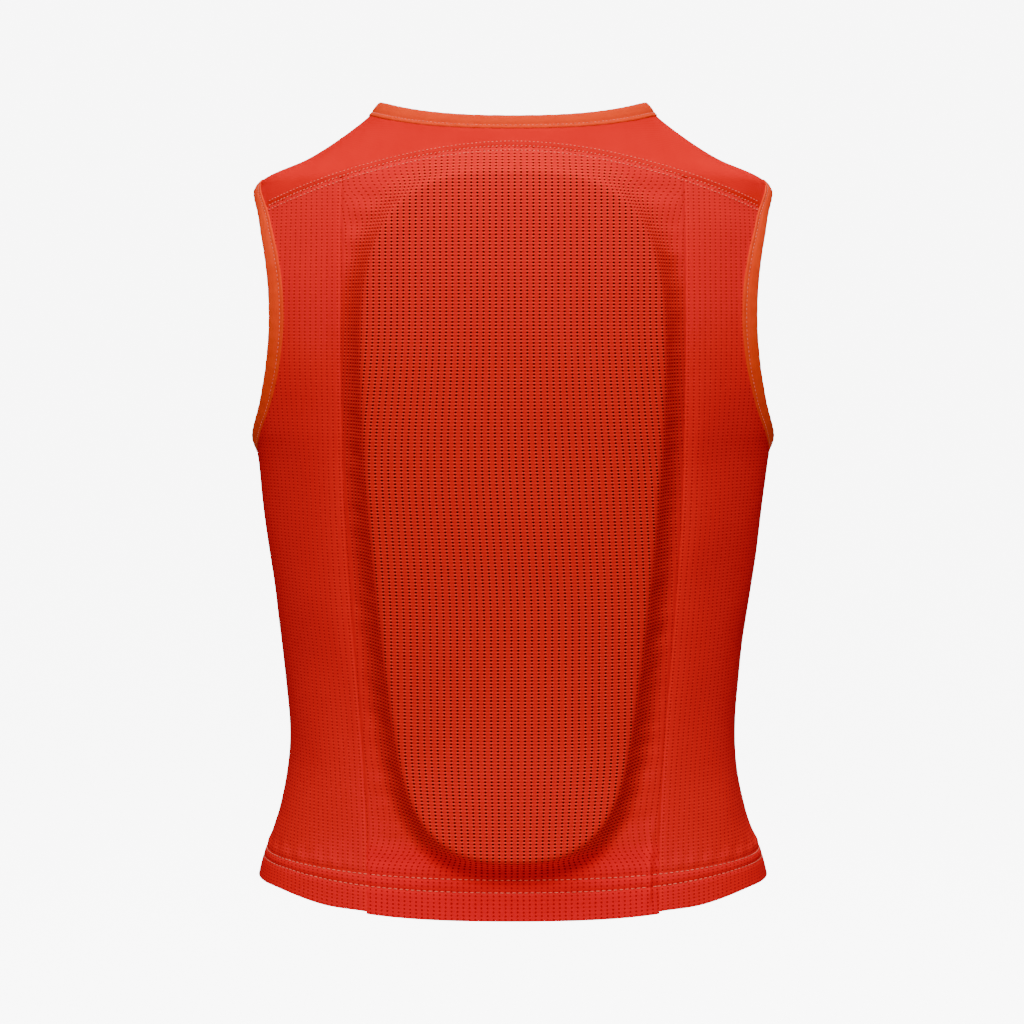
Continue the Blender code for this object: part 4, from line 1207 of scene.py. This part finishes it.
def build_side(side, label):
    front = f"front_{label}"
    attach(make_seam_allowance(side, f"seam_allowance_{label}"), "back", [], "stretch_jersey")
    for make, name, body, node, slot, held, under in (
        (make_side_panel, "side_mesh", "back", "side_panel", "mesh_cloth", "stretched", "back_mesh"),
        (make_front_panel, "front_mesh", front, "front_panel", "mesh_cloth", "hung",
         f"side_mesh_{label}"),
        (make_front_yoke, "front_yoke_cloth", front, "front_yoke", "stretch_jersey", "hung",
         "back_yoke_cloth"),
    ):
        attach_sheet(make(side, f"{name}_{label}"), body, [f"{node}_{label}"], slot, held, under)
    for place, body in (("back", "back"), ("front", front)):
        band = make_armhole_binding(side, place == "back", f"armhole_band_{place}_{label}")
        attach(band, body, [f"armhole_binding_{place}_{label}"], "binding_cloth")
    neck_band = make_neck_binding(side, f"neck_band_{label}")
    attach(neck_band, front, [f"neck_binding_{label}"], "binding_cloth")
    attach_sheet(make_hem_elastic(side, f"hem_band_{label}"), front, [f"hem_elastic_{label}"],
                 "hem_elastic", "stretched", f"front_mesh_{label}")
    rows = edge_rows(side, False)
    rows += [(front_yoke_row(side, offset), *FRONT_YOKE_STITCH) for offset in (-0.0022, 0.0022)]
    rows += [(front_edge_row(side), *ZIP_STITCH)]
    attach(make_object(f"thread_{label}", *stitch_mesh(rows), THREAD), front, [], "binding_cloth")
    attach(make_tape(side, f"tape_cloth_{label}"), front, [f"zip_tape_{label}"], "zip_tape")
    attach(make_coil(side, f"coil_{label}"), front, [f"zip_coil_{label}"], "zip_coil")
    attach_metal(f"zip_top_stop_{label}", f"top_stop_{label}", front)


def build():
    build_back()
    attach(make_seam_allowance(0, "yoke_allowance"), "back", [], "stretch_jersey")
    build_side(1, "left")
    build_side(-1, "right")
    attach(make_neck_binding(0, "neck_band_back"), "back", ["neck_binding_back"], "binding_cloth")
    attach_sheet(make_hem_elastic(0, "hem_band_back"), "back", ["hem_elastic_back"], "hem_elastic",
                 "stretched", "back_mesh")
    rows = [(yoke_row(-0.0026), *OUTER_YOKE_STITCH), (yoke_row(0.0), *MIDDLE_YOKE_STITCH),
            (yoke_row(0.0026), *OUTER_YOKE_STITCH)]
    rows += edge_rows(1, True) + edge_rows(-1, True)
    rows += [(hem_row_centre(row), *HEM_STITCH) for row in HEM_ROWS]
    attach(make_object("thread_back", *stitch_mesh(rows), THREAD), "back", [], "binding_cloth")
    attach_sheet(make_chin_guard(), "front_left", ["chin_guard"], "stretch_jersey", "folded",
                 "tape_cloth_left")
    for node, name, body in (
        ("zip_slider", "slider_body", "slider"), ("zip_pull", "pull_tab", "pull"),
        ("zip_insertion_pin", "insertion_pin", "front_left"),
        ("zip_box_pin", "box_pin", "front_right"), ("zip_retainer_box", "retainer_box", "front_right"),
    ):
        attach_metal(node, name, body)


def make_floor():
    reach, level = 30.0, -0.62
    corners = [(x * reach, y * reach, level) for x, y in ((-1, -1), (1, -1), (1, 1), (-1, 1))]
    mesh = bpy.data.meshes.new("floor")
    mesh.from_pydata(corners, [], [(0, 1, 2, 3)])
    mesh.materials.append(floor_look())
    floor = bpy.data.objects.new("floor", mesh)
    bpy.context.scene.collection.objects.link(floor)
    floor.visible_diffuse = floor.visible_glossy = False


def make_world():
    """A white backdrop that lights the vest far less than it is bright."""
    seen_strength, lighting_strength = 8.0, 0.15
    world = bpy.data.worlds.new("studio")
    bpy.context.scene.world = world
    world.use_nodes = True
    nodes, links = world.node_tree.nodes, world.node_tree.links
    seen, lighting = nodes["Background"], nodes.new("ShaderNodeBackground")
    for node, strength in ((seen, seen_strength), (lighting, lighting_strength)):
        node.inputs["Color"].default_value = (1, 1, 1, 1)
        node.inputs["Strength"].default_value = strength
    choice, path = nodes.new("ShaderNodeMixShader"), nodes.new("ShaderNodeLightPath")
    links.new(path.outputs["Is Camera Ray"], choice.inputs[0])
    links.new(lighting.outputs[0], choice.inputs[1])
    links.new(seen.outputs[0], choice.inputs[2])
    links.new(choice.outputs[0], nodes["World Output"].inputs["Surface"])


def make_lights():
    """Soft square lamps: place, the height on the middle line that they face, size and watts."""
    for name, place, aim, size, power in (
        ("key", (0.1, 1.95, 1.95), 0.25, 1.0, 52.0),
        ("front_key", (-0.5, -2.0, 1.7), 0.25, 1.0, 46.0),
        ("overhead", (0, 0.3, 3.6), 0.0, 3.0, 105.0),
        ("bounce", (0, 0, -0.58), 0.0, 2.0, 9.0),
    ):
        lamp = bpy.data.lights.new(name, "AREA")
        lamp.size, lamp.energy = size, power
        light = bpy.data.objects.new(name, lamp)
        light.location = place
        light.visible_camera = light.visible_glossy = False
        towards = Vector((0, 0, aim)) - Vector(place)
        light.rotation_euler = towards.to_track_quat("-Z", "Y").to_euler()
        bpy.context.scene.collection.objects.link(light)


def make_camera():
    """Square behind the vest and looking 4.87 degrees down."""
    lens = bpy.data.cameras.new("camera")
    lens.lens, lens.sensor_width = 83.4, 36.0
    lens.clip_start, lens.clip_end = 0.01, 100.0
    camera = bpy.data.objects.new("camera", lens)
    camera.location = (0.0006, 1.4, 0.34)
    camera.rotation_euler = (math.radians(90 - 4.87), 0, math.radians(180))
    bpy.context.scene.collection.objects.link(camera)
    bpy.context.scene.camera = camera


build()
make_floor()
make_world()
make_lights()
make_camera()
